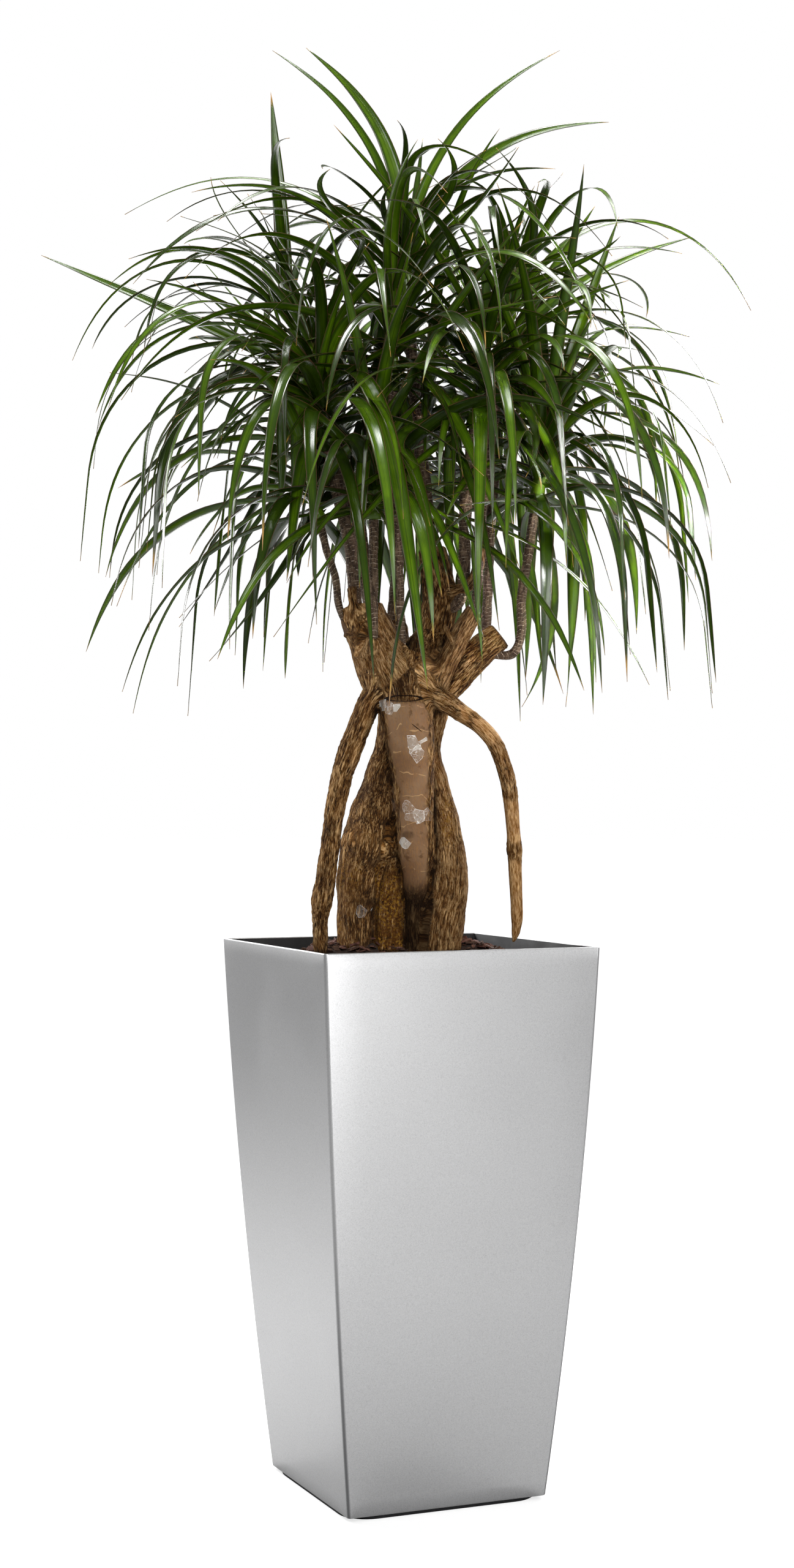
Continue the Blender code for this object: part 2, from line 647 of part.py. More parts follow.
def single_leaf(row, draw, attempt):
    """One of the leaves that stand out of the crown. Later attempts stray a little."""
    name, place, turn, tilt, bend, length, width, roll = row
    turn = math.radians(turn + draw(-1.0, 1.0) * attempt)
    tilt = math.radians(tilt + draw(-0.4, 0.4) * attempt)
    away = plant_point(math.cos(turn), -math.sin(turn), 0.0)
    way = away * math.sin(tilt) + Vector((0.0, 0.0, math.cos(tilt)))
    place = min(0.98, max(0.05, place + draw(-0.01, 0.01) * attempt))
    return sprout(
        STEMS[name], place, way, length, bend, 0.0, width=width, roll=math.radians(roll), twist=0.0,
        stations=ARCHED_STATIONS if bend > UPRIGHT_BEND else UPRIGHT_STATIONS)


def build_blade(leaf):
    """One leaf as a closed blade."""
    mesh = bpy.data.meshes.new("blade")
    points = leaf_points(leaf)
    mesh.from_pydata(points, [], BLADE_FACES[len(points)])
    shape = bmesh.new()
    shape.from_mesh(mesh)
    bmesh.ops.recalc_face_normals(shape, faces=shape.faces)
    shape.to_mesh(mesh)
    shape.free()
    return add_object("blade", mesh)


def clear_scene():
    """Removes what the startup file holds."""
    for old in list(bpy.data.objects):
        bpy.data.objects.remove(old)


def build():
    """Builds every solid of the potted plant."""
    clear_scene()
    metal = make_material("silver_lacquer", (0.52, 0.53, 0.54), 0.34, 0.75)
    black = make_material("black_plastic", (0.018, 0.018, 0.019), 0.55)
    earth = make_material("soil", (0.062, 0.032, 0.020), 0.95)
    bark = make_material("bark", (0.235, 0.150, 0.088), 0.85)
    cane = make_material("cane", (0.150, 0.108, 0.080), 0.75)
    green = make_material("leaf", (0.035, 0.115, 0.022), 0.32)

    build_shell(metal)
    build_liner(black)
    build_soil(earth, [build_foot_cutter(name) for name in FEET])

    limbs = [build_limb(name) for name in LIMBS]
    canes = [build_cane(name, stem, cane) for name, stem in STEMS.items()]
    cores = {name: build_core(name, stem) for name, stem in STEMS.items()}
    wood = [wood_tree(solid) for solid in limbs + canes]
    canopy = Canopy(wood, {name: wood_tree(core) for name, core in cores.items()})
    for name, leaves in canopy.grow_all().items():
        boolean(cores[name], [build_blade(leaf) for leaf in leaves], "UNION", "MANIFOLD")
        dress(cores[name], green)

    trunk = boolean(limbs[0], limbs[1:], "UNION")
    trunk.name = "trunk"
    boolean(trunk, [build_socket_cutter(name, stem) for name, stem in STEMS.items()], "DIFFERENCE")
    dress(trunk, bark)


build()
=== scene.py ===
"""A potted dragon tree: the looks of every piece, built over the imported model.

The planter's axis is the Z axis and its faces look along X and Y. The plant stands turned on it, so
its own places are given across (to its right), towards (to its front) and up, in metres. Only the
tables of limbs and stems are in millimetres.
"""

import logging
import math
import random
from collections.abc import Callable, Iterable, Sequence
from dataclasses import dataclass, replace
from enum import Enum
from functools import partial

import bmesh
import bpy
import numpy as np
from mathutils import Matrix, Vector, noise
from mathutils.bvhtree import BVHTree
from mathutils.kdtree import KDTree


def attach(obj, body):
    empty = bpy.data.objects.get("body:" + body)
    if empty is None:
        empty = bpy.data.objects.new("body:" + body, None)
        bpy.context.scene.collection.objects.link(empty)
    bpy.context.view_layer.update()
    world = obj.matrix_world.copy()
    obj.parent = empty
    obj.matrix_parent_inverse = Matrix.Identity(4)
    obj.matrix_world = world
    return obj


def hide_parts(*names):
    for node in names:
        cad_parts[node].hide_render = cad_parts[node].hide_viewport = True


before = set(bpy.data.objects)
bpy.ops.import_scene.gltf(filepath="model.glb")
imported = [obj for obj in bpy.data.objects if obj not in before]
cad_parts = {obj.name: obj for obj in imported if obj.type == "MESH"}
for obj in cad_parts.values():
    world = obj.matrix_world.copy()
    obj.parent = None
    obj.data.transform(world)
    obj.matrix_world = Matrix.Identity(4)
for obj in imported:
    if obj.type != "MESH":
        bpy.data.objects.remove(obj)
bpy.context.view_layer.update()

ROOT = "root"

log = logging.getLogger("potted_plant")

Place = tuple[float, float, float]
Colour = tuple[float, float, float]
Faces = list[tuple[int, ...]]
Draw = Callable[[float, float], float]
Mesh = bpy.types.Mesh
Material = bpy.types.Material
Node = bpy.types.Node
NodeTree = bpy.types.NodeTree
Socket = bpy.types.NodeSocket
Outputs = Sequence[Socket]

# The plant's front is turned this far from the planter's front face
PLANT_TURN = math.radians(23.0)
# Faces that meet at more than this are shaded apart
SHARP_ANGLE = math.radians(50.0)


class Slot(Enum):
    """The record's material slots."""

    PLANTER = "planter"
    LINER = "liner"
    SOIL = "soil"
    BARK = "bark"
    CANE = "cane"
    LEAF = "leaf"


def plant_point(across: float, towards: float, up: float) -> Vector:
    """Turns a place given to the plant's right, to its front and up into the planter's frame."""
    cos, sin = math.cos(PLANT_TURN), math.sin(PLANT_TURN)
    return Vector((across * cos - towards * sin, -across * sin - towards * cos, up))


def plant_places(points: np.ndarray) -> np.ndarray:
    """Turns places in the planter's frame into the plant's own directions.

    Args:
        points: rows of X, Y and Z.

    Returns:
        Rows of across, towards and up.
    """
    cos, sin = math.cos(PLANT_TURN), math.sin(PLANT_TURN)
    across = points[:, 0] * cos - points[:, 1] * sin
    towards = -points[:, 0] * sin - points[:, 1] * cos
    return np.column_stack((across, towards, points[:, 2]))


def mix(low: float, high: float, share: float) -> float:
    """A number part of the way from one to another."""
    return low + (high - low) * share


def ease(low: float, high: float, value: float) -> float:
    """Rises smoothly from 0 to 1 as a value goes from low to high."""
    share = min(1.0, max(0.0, (value - low) / (high - low)))
    return share * share * (3.0 - 2.0 * share)


def add_piece(name: str, mesh: Mesh, slot: Slot, node: str, *finishes: Material) -> None:
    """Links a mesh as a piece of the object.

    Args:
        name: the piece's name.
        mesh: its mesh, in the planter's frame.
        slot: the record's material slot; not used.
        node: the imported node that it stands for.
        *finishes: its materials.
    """
    for finish in finishes:
        mesh.materials.append(finish)
    piece = bpy.data.objects.new(name, mesh)
    bpy.context.scene.collection.objects.link(piece)
    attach(piece, ROOT)
    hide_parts(node)
    log.info("%s: %d faces", name, len(mesh.polygons))


def make_mesh(name: str, points: Iterable[Sequence[float]], faces: Faces, smooth: bool = True) -> Mesh:
    """Makes a mesh with its faces turned outwards.

    Args:
        name: the mesh's name.
        points: its corners.
        faces: its faces, as indices of corners.
        smooth: whether it is shaded smooth.

    Returns:
        The mesh.
    """
    mesh = bpy.data.meshes.new(name)
    mesh.from_pydata([tuple(point) for point in points], [], faces)
    shape = bmesh.new()
    shape.from_mesh(mesh)
    bmesh.ops.recalc_face_normals(shape, faces=shape.faces)
    shape.to_mesh(mesh)
    shape.free()
    if smooth:
        mesh.shade_smooth()
    return mesh


def store(mesh: Mesh, name: str, values: Sequence) -> None:
    """Keeps a number or a place at each corner of a mesh, for its material to read.

    Args:
        mesh: the mesh.
        name: the attribute's name.
        values: a number or a row of three for each corner.
    """
    values = np.asarray(values, dtype=np.float32)
    kind, part = ("FLOAT", "value") if values.ndim == 1 else ("FLOAT_VECTOR", "vector")
    mesh.attributes.new(name, kind, "POINT").data.foreach_set(part, values.ravel())


def tube_faces(rings: int, sides: int, first: int = 0) -> Faces:
    """The faces of a tube with closed ends, through rings of equal count.

    Args:
        rings: how many rings.
        sides: how many corners a ring has.
        first: the index of its first corner.

    Returns:
        The faces.
    """
    faces = []
    for ring in range(rings - 1):
        low, high = first + ring * sides, first + (ring + 1) * sides
        for i in range(sides):
            j = (i + 1) % sides
            faces.append((low + i, low + j, high + j, high + i))
    faces.append(tuple(reversed(range(first, first + sides))))
    last = first + (rings - 1) * sides
    faces.append(tuple(range(last, last + sides)))
    return faces


def mesh_of_rings(name: str, rings: list[list[Place]]) -> Mesh:
    """Makes a closed tube through rings, smooth but for its sharp edges.

    Args:
        name: the mesh's name.
        rings: its rings.

    Returns:
        The mesh.
    """
    points = [point for ring in rings for point in ring]
    mesh = make_mesh(name, points, tube_faces(len(rings), len(rings[0])))
    mesh.set_sharp_from_angle(angle=SHARP_ANGLE)
    return mesh


def smooth_route(places: Sequence[Vector], radii: Sequence[float],
                 step: float) -> tuple[list[Vector], list[float]]:
    """Draws a smooth line through places.

    Args:
        places: the places it passes.
        radii: the radius at each.
        step: the length between the points made.

    Returns:
        The points and the radius at each.
    """
    points, sizes = [], []
    last = len(places) - 1
    for i in range(last):
        before, start, end, after = (places[max(0, min(last, i + j))] for j in (-1, 0, 1, 2))
        count = max(1, round((end - start).length / step))
        for k in range(count):
            share = k / count
            bend = (2.0 * start + (end - before) * share
                    + (2.0 * before - 5.0 * start + 4.0 * end - after) * share ** 2
                    + (3.0 * start - before - 3.0 * end + after) * share ** 3)
            points.append(0.5 * bend)
            sizes.append(mix(radii[i], radii[i + 1], ease(0.0, 1.0, share)))
    points.append(places[last].copy())
    sizes.append(radii[last])
    return points, sizes


def carried_frames(points: Sequence[Vector]) -> list[tuple[Vector, Vector, Vector]]:
    """Frames along a line that don't twist.

    Args:
        points: the line.

    Returns:
        The heading and two square directions at each point.
    """
    frames = []
    last = len(points) - 1
    spoke = None
    for i in range(len(points)):
        heading = (points[min(i + 1, last)] - points[max(i - 1, 0)]).normalized()
        if spoke is None:
            spoke = heading.orthogonal()
        spoke = (spoke - heading * spoke.dot(heading)).normalized()
        frames.append((heading, spoke, heading.cross(spoke)))
    return frames


def ring_points(place: Vector, spoke: Vector, other: Vector, radius: float, sides: int) -> list[Vector]:
    """A ring of points round a place, in the plane of two square directions."""
    turns = (math.tau * side / sides for side in range(sides))
    return [place + (spoke * math.cos(turn) + other * math.sin(turn)) * radius for turn in turns]


def rings_along(route: list[Vector], radii: list[float], sides: int) -> list[list[Vector]]:
    """A ring of points round each place on a route."""
    return [ring_points(place, spoke, other, radius, sides)
            for place, radius, (_, spoke, other) in zip(route, radii, carried_frames(route))]


class Net:
    """Short calls for making and joining shader nodes in a material or a node group."""

    def __init__(self, tree: NodeTree) -> None:
        """Takes the tree to work in."""
        self.tree = tree

    def put(self, socket: Socket, value: object) -> None:
        """Joins a socket to another, or sets it.

        Args:
            socket: the input.
            value: an output to join it to, or a plain value.
        """
        if isinstance(value, Socket):
            self.tree.links.new(value, socket)
        elif isinstance(value, tuple) and len(value) == 3 and socket.type == "RGBA":
            socket.default_value = (*value, 1.0)
        else:
            socket.default_value = value

    def fill(self, node: Node, **inputs: object) -> Node:
        """Joins or sets a node's inputs.

        Args:
            node: the node.
            **inputs: its inputs, with _ for a blank.

        Returns:
            The node.
        """
        for name, value in inputs.items():
            self.put(node.inputs[name.replace("_", " ")], value)
        return node

    def node(self, kind: str, settings: dict | None = None, **inputs: object) -> Node:
        """Adds a node.

        Args:
            kind: the node's Blender type.
            settings: its own settings.
            **inputs: its inputs, with _ for a blank.

        Returns:
            The node.
        """
        made = self.tree.nodes.new(kind)
        for name, value in (settings or {}).items():
            setattr(made, name, value)
        return self.fill(made, **inputs)

    def use(self, group: NodeTree, **inputs: object) -> Outputs:
        """Places a node group and gives its outputs."""
        return self.node("ShaderNodeGroup", {"node_tree": group}, **inputs).outputs

    def sum(self, kind: str, operation: str, *values: object) -> Node:
        """Adds a node that works something out from its inputs.

        Args:
            kind: the node's Blender type.
            operation: Blender's name for what it does.
            *values: numbers, vectors or outputs, in the order of its inputs.

        Returns:
            The node.
        """
        made = self.node(kind, {"operation": operation})
        for socket, value in zip(made.inputs, values):
            self.put(socket, value)
        return made

    def math(self, operation: str, *values: object) -> Socket:
        """What Blender's operation makes of one, two or three numbers."""
        return self.sum("ShaderNodeMath", operation, *values).outputs[0]

    def times(self, first: object, second: object) -> Socket:
        """One number times another."""
        return self.math("MULTIPLY", first, second)

    def plus(self, first: object, second: object) -> Socket:
        """One number and another."""
        return self.math("ADD", first, second)

    def minus(self, first: object, second: object) -> Socket:
        """One number less another."""
        return self.math("SUBTRACT", first, second)

    def most(self, first: object, second: object) -> Socket:
        """The larger of two numbers."""
        return self.math("MAXIMUM", first, second)

    def off(self, value: object, middle: float) -> Socket:
        """How far a number lies from a middle."""
        return self.math("ABSOLUTE", self.minus(value, middle))

    def blend(self, share: object, low: object, high: object) -> Socket:
        """A mix of two colours.

        Args:
            share: how much of the second.
            low: the first colour.
            high: the second colour.

        Returns:
            The mixed colour.
        """
        made = self.node("ShaderNodeMix", {"data_type": "RGBA"}, Factor=share)
        self.put(made.inputs[6], low)
        self.put(made.inputs[7], high)
        return made.outputs[2]

    def span(self, value: object, low: float, high: float, start: float = 0.0,
             end: float = 1.0) -> Socket:
        """Stretches a value smoothly from one span onto another.

        Args:
            value: the value.
            low: where it starts.
            high: where it ends.
            start: the result at the low end.
            end: the result at the high end.

        Returns:
            The stretched value.
        """
        made = self.node("ShaderNodeMapRange", {"interpolation_type": "SMOOTHSTEP"})
        for socket, number in zip(made.inputs, (value, low, high, start, end)):
            self.put(socket, number)
        return made.outputs[0]

    def ramp(self, value: object, *stops: tuple[float, Colour]) -> Socket:
        """A colour for a value between 0 and 1.

        Args:
            value: the value.
            *stops: places along it and their colours.

        Returns:
            The colour.
        """
        made = self.node("ShaderNodeValToRGB", Fac=value)
        band = made.color_ramp
        for element, (place, colour) in zip((band.elements[0], band.elements[1]), (stops[0], stops[-1])):
            element.position = place
            element.color = (*colour, 1.0)
        for place, colour in stops[1:-1]:
            band.elements.new(place).color = (*colour, 1.0)
        return made.outputs[0]

    def read(self, name: str, output: str = "Fac") -> Socket:
        """What a mesh keeps under a name: a number, or with the output "Vector" a place."""
        return self.node("ShaderNodeAttribute", {"attribute_name": name}).outputs[output]

    def own_place(self) -> Socket:
        """The place in the planter's frame."""
        return self.node("ShaderNodeTexCoord").outputs["Object"]

    def split(self, place: object) -> Outputs:
        """The three numbers of a place."""
        return self.node("ShaderNodeSeparateXYZ", Vector=place).outputs

    def scaled(self, place: object, scale: float) -> Socket:
        """A place drawn out to a scale."""
        return self.node("ShaderNodeMapping", Vector=place, Scale=(scale, scale, scale)).outputs[0]

    def noise(self, place: object, scale: float, detail: float) -> Socket:
        """Cloudy noise between 0 and 1, with so many clouds to a metre and so many finer layers."""
        return self.node("ShaderNodeTexNoise", Vector=self.scaled(place, scale), Scale=1.0, Detail=detail,
                         Roughness=0.55).outputs["Fac"]

    def cells(self, place: object, scale: float, feature: str = "F1") -> Outputs:
        """A pattern of so many cells to a metre, measured as Blender's feature says."""
        return self.node("ShaderNodeTexVoronoi", {"feature": feature}, Vector=self.scaled(place, scale),
                         Scale=1.0).outputs

    def bump(self, height: object, depth: float, **under: object) -> Socket:
        """The normal that a height of a real depth in metres gives, over the Normal under it."""
        return self.node("ShaderNodeBump", Strength=1.0, Distance=depth, Height=height, **under).outputs[0]


def new_group(name: str, inputs: dict[str, tuple[str, object]],
              outputs: dict[str, str]) -> tuple[Net, dict, dict]:
    """Starts a node group.

    Args:
        name: the group's name.
        inputs: each input's kind and starting value.
        outputs: each output's kind.

    Returns:
        The nodes, the inputs' sockets and the outputs' sockets.
    """
    tree = bpy.data.node_groups.new(name, "ShaderNodeTree")
    for label, (kind, value) in inputs.items():
        socket = tree.interface.new_socket(label, in_out="INPUT", socket_type="NodeSocket" + kind)
        if value is not None:
            socket.default_value = value
    for label, kind in outputs.items():
        tree.interface.new_socket(label, in_out="OUTPUT", socket_type="NodeSocket" + kind)
    entry = tree.nodes.new("NodeGroupInput")
    leaving = tree.nodes.new("NodeGroupOutput")
    return (Net(tree), {label: entry.outputs[label] for label in inputs},
            {label: leaving.inputs[label] for label in outputs})


def start_material(name: str) -> tuple[Material, Net, Node]:
    """Starts a material.

    Args:
        name: the material's name.

    Returns:
        The material, its nodes and its Principled shader.
    """
    material = bpy.data.materials.new(name)
    material.use_nodes = True
    return material, Net(material.node_tree), material.node_tree.nodes["Principled BSDF"]


def grain_group() -> NodeTree:
    """Fine speckle with broad, faint clouds under it, as in a sprayed or moulded surface.

    Returns:
        The group, which gives a speckle and a cloud between 0 and 1.
    """
    net, given, result = new_group(
        "fine_grain",
        {"Place": ("Vector", None), "Fine": ("Float", 900.0), "Broad": ("Float", 9.0)},
        {"Speckle": "Float", "Cloud": "Float"})
    speckle = net.node("ShaderNodeTexNoise", Vector=given["Place"], Scale=given["Fine"], Detail=2.0)
    cloud = net.node("ShaderNodeTexNoise", Vector=given["Place"], Scale=given["Broad"], Detail=2.0)
    net.put(result["Speckle"], net.span(speckle.outputs["Fac"], 0.25, 0.75))
    net.put(result["Cloud"], net.span(cloud.outputs["Fac"], 0.3, 0.7))
    return net.tree


def fibre_group() -> NodeTree:
    """Wood fibre: streaks that run along a limb, with short cracks across them.

    Returns:
        The group, which gives streaks, cracks and flecks between 0 and 1.
    """
    net, given, result = new_group(
        "wood_fibre",
        {"Place": ("Vector", None), "Across": ("Float", 420.0), "Along": ("Float", 55.0)},
        {"Streak": "Float", "Crack": "Float", "Fleck": "Float"})
    scale = net.node("ShaderNodeCombineXYZ", X=given["Across"], Y=given["Across"], Z=given["Along"])
    drawn = net.sum("ShaderNodeVectorMath", "MULTIPLY", given["Place"], scale.outputs[0]).outputs[0]
    streak = net.node("ShaderNodeTexNoise", Vector=drawn, Scale=1.0, Detail=4.0, Roughness=0.62)
    crack = net.node("ShaderNodeTexNoise", Vector=drawn, Scale=0.45, Detail=3.0, Distortion=0.6)
    edge = net.off(crack.outputs["Fac"], 0.5)
    fleck = net.node("ShaderNodeTexNoise", Vector=given["Place"], Scale=240.0, Detail=3.0)
    net.put(result["Streak"], net.span(streak.outputs["Fac"], 0.28, 0.72))
    net.put(result["Crack"], net.span(edge, 0.035, 0.0))
    net.put(result["Fleck"], net.span(fleck.outputs["Fac"], 0.55, 0.72))
    return net.tree


class Shared:
    """The node groups that more than one finish uses, each built once."""

    def __init__(self) -> None:
        """Builds the groups."""
        self.grain = grain_group()
        self.fibre = fibre_group()


@dataclass(frozen=True)
class SilverLacquer:
    """The planter's sprayed metallic finish."""

    base: Colour = (0.60, 0.60, 0.605)
    spark: Colour = (0.76, 0.76, 0.765)
    # The colour of the painted shade along the upright edges
    shade: Colour = (0.13, 0.13, 0.135)
    roughness: float = 0.36
    metallic: float = 0.86
    grain_depth: float = 0.00006

    def build(self, shared: Shared) -> Material:
        """Makes the material.

        Args:
            shared: the node groups.

        Returns:
            The material.
        """
        material, net, shader = start_material("silver_lacquer")
        place = net.own_place()
        fine = net.use(shared.grain, Place=place, Fine=1100.0, Broad=7.0)
        sand = net.noise(place, 420.0, 2.0)
        colour = net.blend(fine["Speckle"], self.base, self.spark)
        colour = net.blend(net.span(sand, 0.40, 0.62, 0.0, 0.45), colour, self.spark)
        # Painted shade darkens the upright edges, more so lower down
        colour = net.blend(net.times(net.read("edge"), 0.85), colour, self.shade)
        rough = net.math("MULTIPLY_ADD", fine["Cloud"], 0.03, self.roughness)
        net.fill(shader, Base_Color=colour, Roughness=rough, Metallic=self.metallic,
                 Normal=net.bump(sand, self.grain_depth))
        return material


@dataclass(frozen=True)
class BlackPlastic:
    """The liner's moulded plastic."""

    base: Colour = (0.008, 0.008, 0.009)
    worn: Colour = (0.026, 0.025, 0.024)
    roughness: float = 0.50
    grain_depth: float = 0.00008

    def build(self, shared: Shared) -> Material:
        """Makes the material.

        Args:
            shared: the node groups.

        Returns:
            The material.
        """
        material, net, shader = start_material("black_plastic")
        place = net.own_place()
        fine = net.use(shared.grain, Place=place, Fine=700.0, Broad=22.0)
        dust = net.span(net.noise(place, 60.0, 4.0), 0.5, 0.8, 0.0, 0.55)
        rough = net.math("MULTIPLY_ADD", fine["Cloud"], 0.18, self.roughness)
        net.fill(shader, Base_Color=net.blend(dust, self.base, self.worn), Roughness=rough,
                 Normal=net.bump(fine["Speckle"], self.grain_depth))
        return material


@dataclass(frozen=True)
class BarkSoil:
    """Reddish-brown bark chips and the dark crumb under them."""

    crumb: Colour = (0.020, 0.011, 0.007)
    chip: Colour = (0.085, 0.041, 0.023)
    pale: Colour = (0.240, 0.145, 0.090)
    red: Colour = (0.165, 0.052, 0.036)
    chip_depth: float = 0.0007

    def build(self, shared: Shared) -> Material:
        """Makes the material.

        Args:
            shared: the node groups.

        Returns:
            The material.
        """
        material, net, shader = start_material("bark_soil")
        place = net.own_place()
        fibre = net.use(shared.fibre, Place=place, Across=260.0, Along=260.0)
        tone = net.read("tone")
        colour = net.blend(net.span(tone, 0.0, 0.45), self.crumb, self.chip)
        colour = net.blend(net.span(tone, 0.75, 1.0, 0.0, 0.8), colour, self.pale)
        colour = net.blend(net.span(tone, 0.62, 0.70, 0.0, 0.6), colour, self.red)
        colour = net.blend(net.times(fibre["Streak"], 0.55), colour, self.crumb)
        net.fill(shader, Base_Color=colour, Roughness=net.span(fibre["Fleck"], 0.0, 1.0, 0.92, 0.75),
                 Normal=net.bump(fibre["Streak"], self.chip_depth))
        return material


@dataclass(frozen=True)
class Patch:
    """A place on the bark: its middle across and up, its half width and half height, and its turn."""

    across: float
    up: float
    width: float
    height: float
    turn: float = 0.0

    def away(self, net: Net, place: Socket) -> Socket:
        """How far a place lies from the middle.

        Args:
            net: the material's nodes.
            place: the place in the plant's own directions.

        Returns:
            The squared share of the way to the patch's outline.
        """
        across, _, up = net.split(place)
        aside, above = net.minus(across, self.across), net.minus(up, self.up)
        cos, sin = math.cos(self.turn), math.sin(self.turn)
        along = net.plus(net.times(aside, cos / self.width), net.times(above, sin / self.width))
        over = net.minus(net.times(above, cos / self.height), net.times(aside, sin / self.height))
        return net.plus(net.times(along, along), net.times(over, over))


@dataclass(frozen=True)
class Bark:
    """The trunk's bark, from rough brown to the smooth taupe strip and the pale hanging root."""

    black: Colour = (0.011, 0.004, 0.001)
    deep: Colour = (0.050, 0.020, 0.005)
    brown: Colour = (0.145, 0.057, 0.010)
    ridge: Colour = (0.340, 0.158, 0.044)
    crest: Colour = (0.660, 0.410, 0.180)
    taupe: Colour = (0.262, 0.158, 0.086)
    warm: Colour = (0.190, 0.100, 0.050)
    tan: Colour = (0.430, 0.245, 0.105)
    ochre: Colour = (0.480, 0.235, 0.032)
    rust: Colour = (0.170, 0.062, 0.010)
    film: Colour = (0.640, 0.600, 0.540)
    bright: Colour = (0.900, 0.880, 0.840)
    sawn: Colour = (0.270, 0.150, 0.082)
    strand_depth: float = 0.0036
    fleck_depth: float = 0.0003
    film_cells: float = 78.0
    # Flakes of peeling film; the fifth, on the front trunk's top edge, and the sixth, on the right trunk,
    # are painted highlights drawn as film
    film_and_highlight_patches: tuple[Patch, ...] = (
        Patch(0.016, 1.026, 0.014, 0.015),
        Patch(0.012, 0.932, 0.018, 0.015),
        Patch(0.000, 0.890, 0.009, 0.008),
        Patch(-0.060, 0.800, 0.011, 0.012),
        Patch(-0.026, 1.084, 0.013, 0.007),
        Patch(0.045, 0.834, 0.004, 0.007),
    )
    mosses: tuple[Patch, ...] = (
        Patch(0.058, 0.925, 0.012, 0.045),
        Patch(-0.080, 0.850, 0.026, 0.026),
        Patch(-0.096, 0.775, 0.012, 0.034),
    )
    # Darker patches on the front of the trunks
    dark_patches: tuple[Patch, ...] = (
        Patch(-0.059, 0.927, 0.009, 0.006),
        Patch(-0.064, 0.812, 0.016, 0.007),
        Patch(0.038, 0.805, 0.007, 0.014),
        Patch(0.002, 0.906, 0.010, 0.006),
    )
    fold: Patch = Patch(-0.0035, 1.0938, 0.0245, 0.0040)
    split: Patch = Patch(0.0145, 1.0530, 0.0105, 0.0008, -0.66)

    def build(self, shared: Shared) -> Material:
        """Makes the material.

        Args:
            shared: the node groups.

        Returns:
            The material.
        """
        material, net, shader = start_material("bark")
        drawn = net.read("drawn", "Vector")
        plain = net.read("plain", "Vector")
        smooth = net.read("smooth")
        coarse = net.use(shared.fibre, Place=drawn, Across=190.0, Along=30.0)
        broad = net.use(shared.fibre, Place=drawn, Across=420.0, Along=62.0)
        fine = net.use(shared.fibre, Place=drawn, Across=900.0, Along=130.0)
        blotch = net.noise(plain, 24.0, 5.0)

        height = net.times(net.read("relief"), 0.20)
        for fibre, share in ((coarse, 0.14), (broad, 0.34), (fine, 0.40)):
            height = net.plus(height, net.times(fibre["Streak"], share))
        height = net.span(height, 0.10, 0.78)
        colour = self.rough_skin(net, height, coarse, broad, fine, blotch)
        colour = net.blend(smooth, colour, self.smooth_skin(net, plain, height, fine, blotch))
        colour = self.grow_moss(net, colour, plain)
        colour = net.blend(net.read("sawn"), colour, net.blend(blotch, self.sawn, self.deep))
        # Painted shade from the hollow attribute: the crevices between limbs, the front trunk's foot and a
        # contact shadow at the soil
        colour = net.blend(net.times(net.read("hollow"), 0.92), colour, self.black)
        # Painted shade along the fold's lips, with a dark split and dark patches
        colour = net.blend(self.dark_lines(net, plain, blotch), colour, self.black)
        # Film flakes with bright rims; two of the patches are painted highlights
        film, rim = self.film_mask(net, plain)
        colour = net.blend(net.times(film, 0.85), colour, self.film)
        colour = net.blend(rim, colour, self.bright)

        rough = net.minus(net.span(smooth, 0.0, 1.0, 0.86, 0.62), net.times(film, 0.30))
        rise = net.times(height, net.span(smooth, 0.0, 1.0, 1.0, 0.15))
        small = net.plus(fine["Fleck"], net.times(film, net.noise(plain, 200.0, 2.0)))
        normal = net.bump(small, self.fleck_depth, Normal=net.bump(rise, self.strand_depth))
        net.fill(shader, Base_Color=colour, Roughness=rough, Specular_IOR_Level=0.12, Normal=normal)
        return material

    def rough_skin(self, net: Net, height: Socket, coarse: Outputs, broad: Outputs, fine: Outputs,
                   blotch: Socket) -> Socket:
        """The rough bark: brown strands with tan crests and near-black fissures, paler on the hanging root.
        The near-black low strands are partly painted shade and the pale crests partly painted highlight.

        Args:
            net: the material's nodes.
            height: the height of the strands.
            coarse: the coarse fibre.
            broad: the middling fibre.
            fine: the fine fibre.
            blotch: broad clouds.

        Returns:
            Its colour.
        """
        # Near-black low strands are partly painted shade and pale crests partly painted highlight, here and
        # in the golden ramp
        colour = net.ramp(height, (0.03, self.black), (0.20, self.deep), (0.44, self.brown),
                          (0.68, self.ridge), (0.94, self.crest))
        colour = net.blend(net.span(blotch, 0.34, 0.50, 0.62, 0.0), colour, self.deep)
        colour = net.blend(net.span(blotch, 0.52, 0.66, 0.0, 0.40), colour, self.ridge)
        golden = net.ramp(height, (0.02, self.deep), (0.22, self.brown), (0.44, self.ridge),
                          (0.68, self.tan), (0.95, self.crest))
        colour = net.blend(net.read("pale"), colour, golden)
        thread = net.times(fine["Crack"], net.span(broad["Streak"], 0.35, 0.85))
        colour = net.blend(net.times(thread, 0.55), colour, self.crest)
        gap = net.times(coarse["Crack"], net.span(fine["Streak"], 0.9, 0.3))
        chink = net.times(broad["Crack"], net.span(coarse["Streak"], 0.7, 0.3))
        gap = net.most(gap, chink)
        return net.blend(net.times(gap, 0.88), colour, self.black)

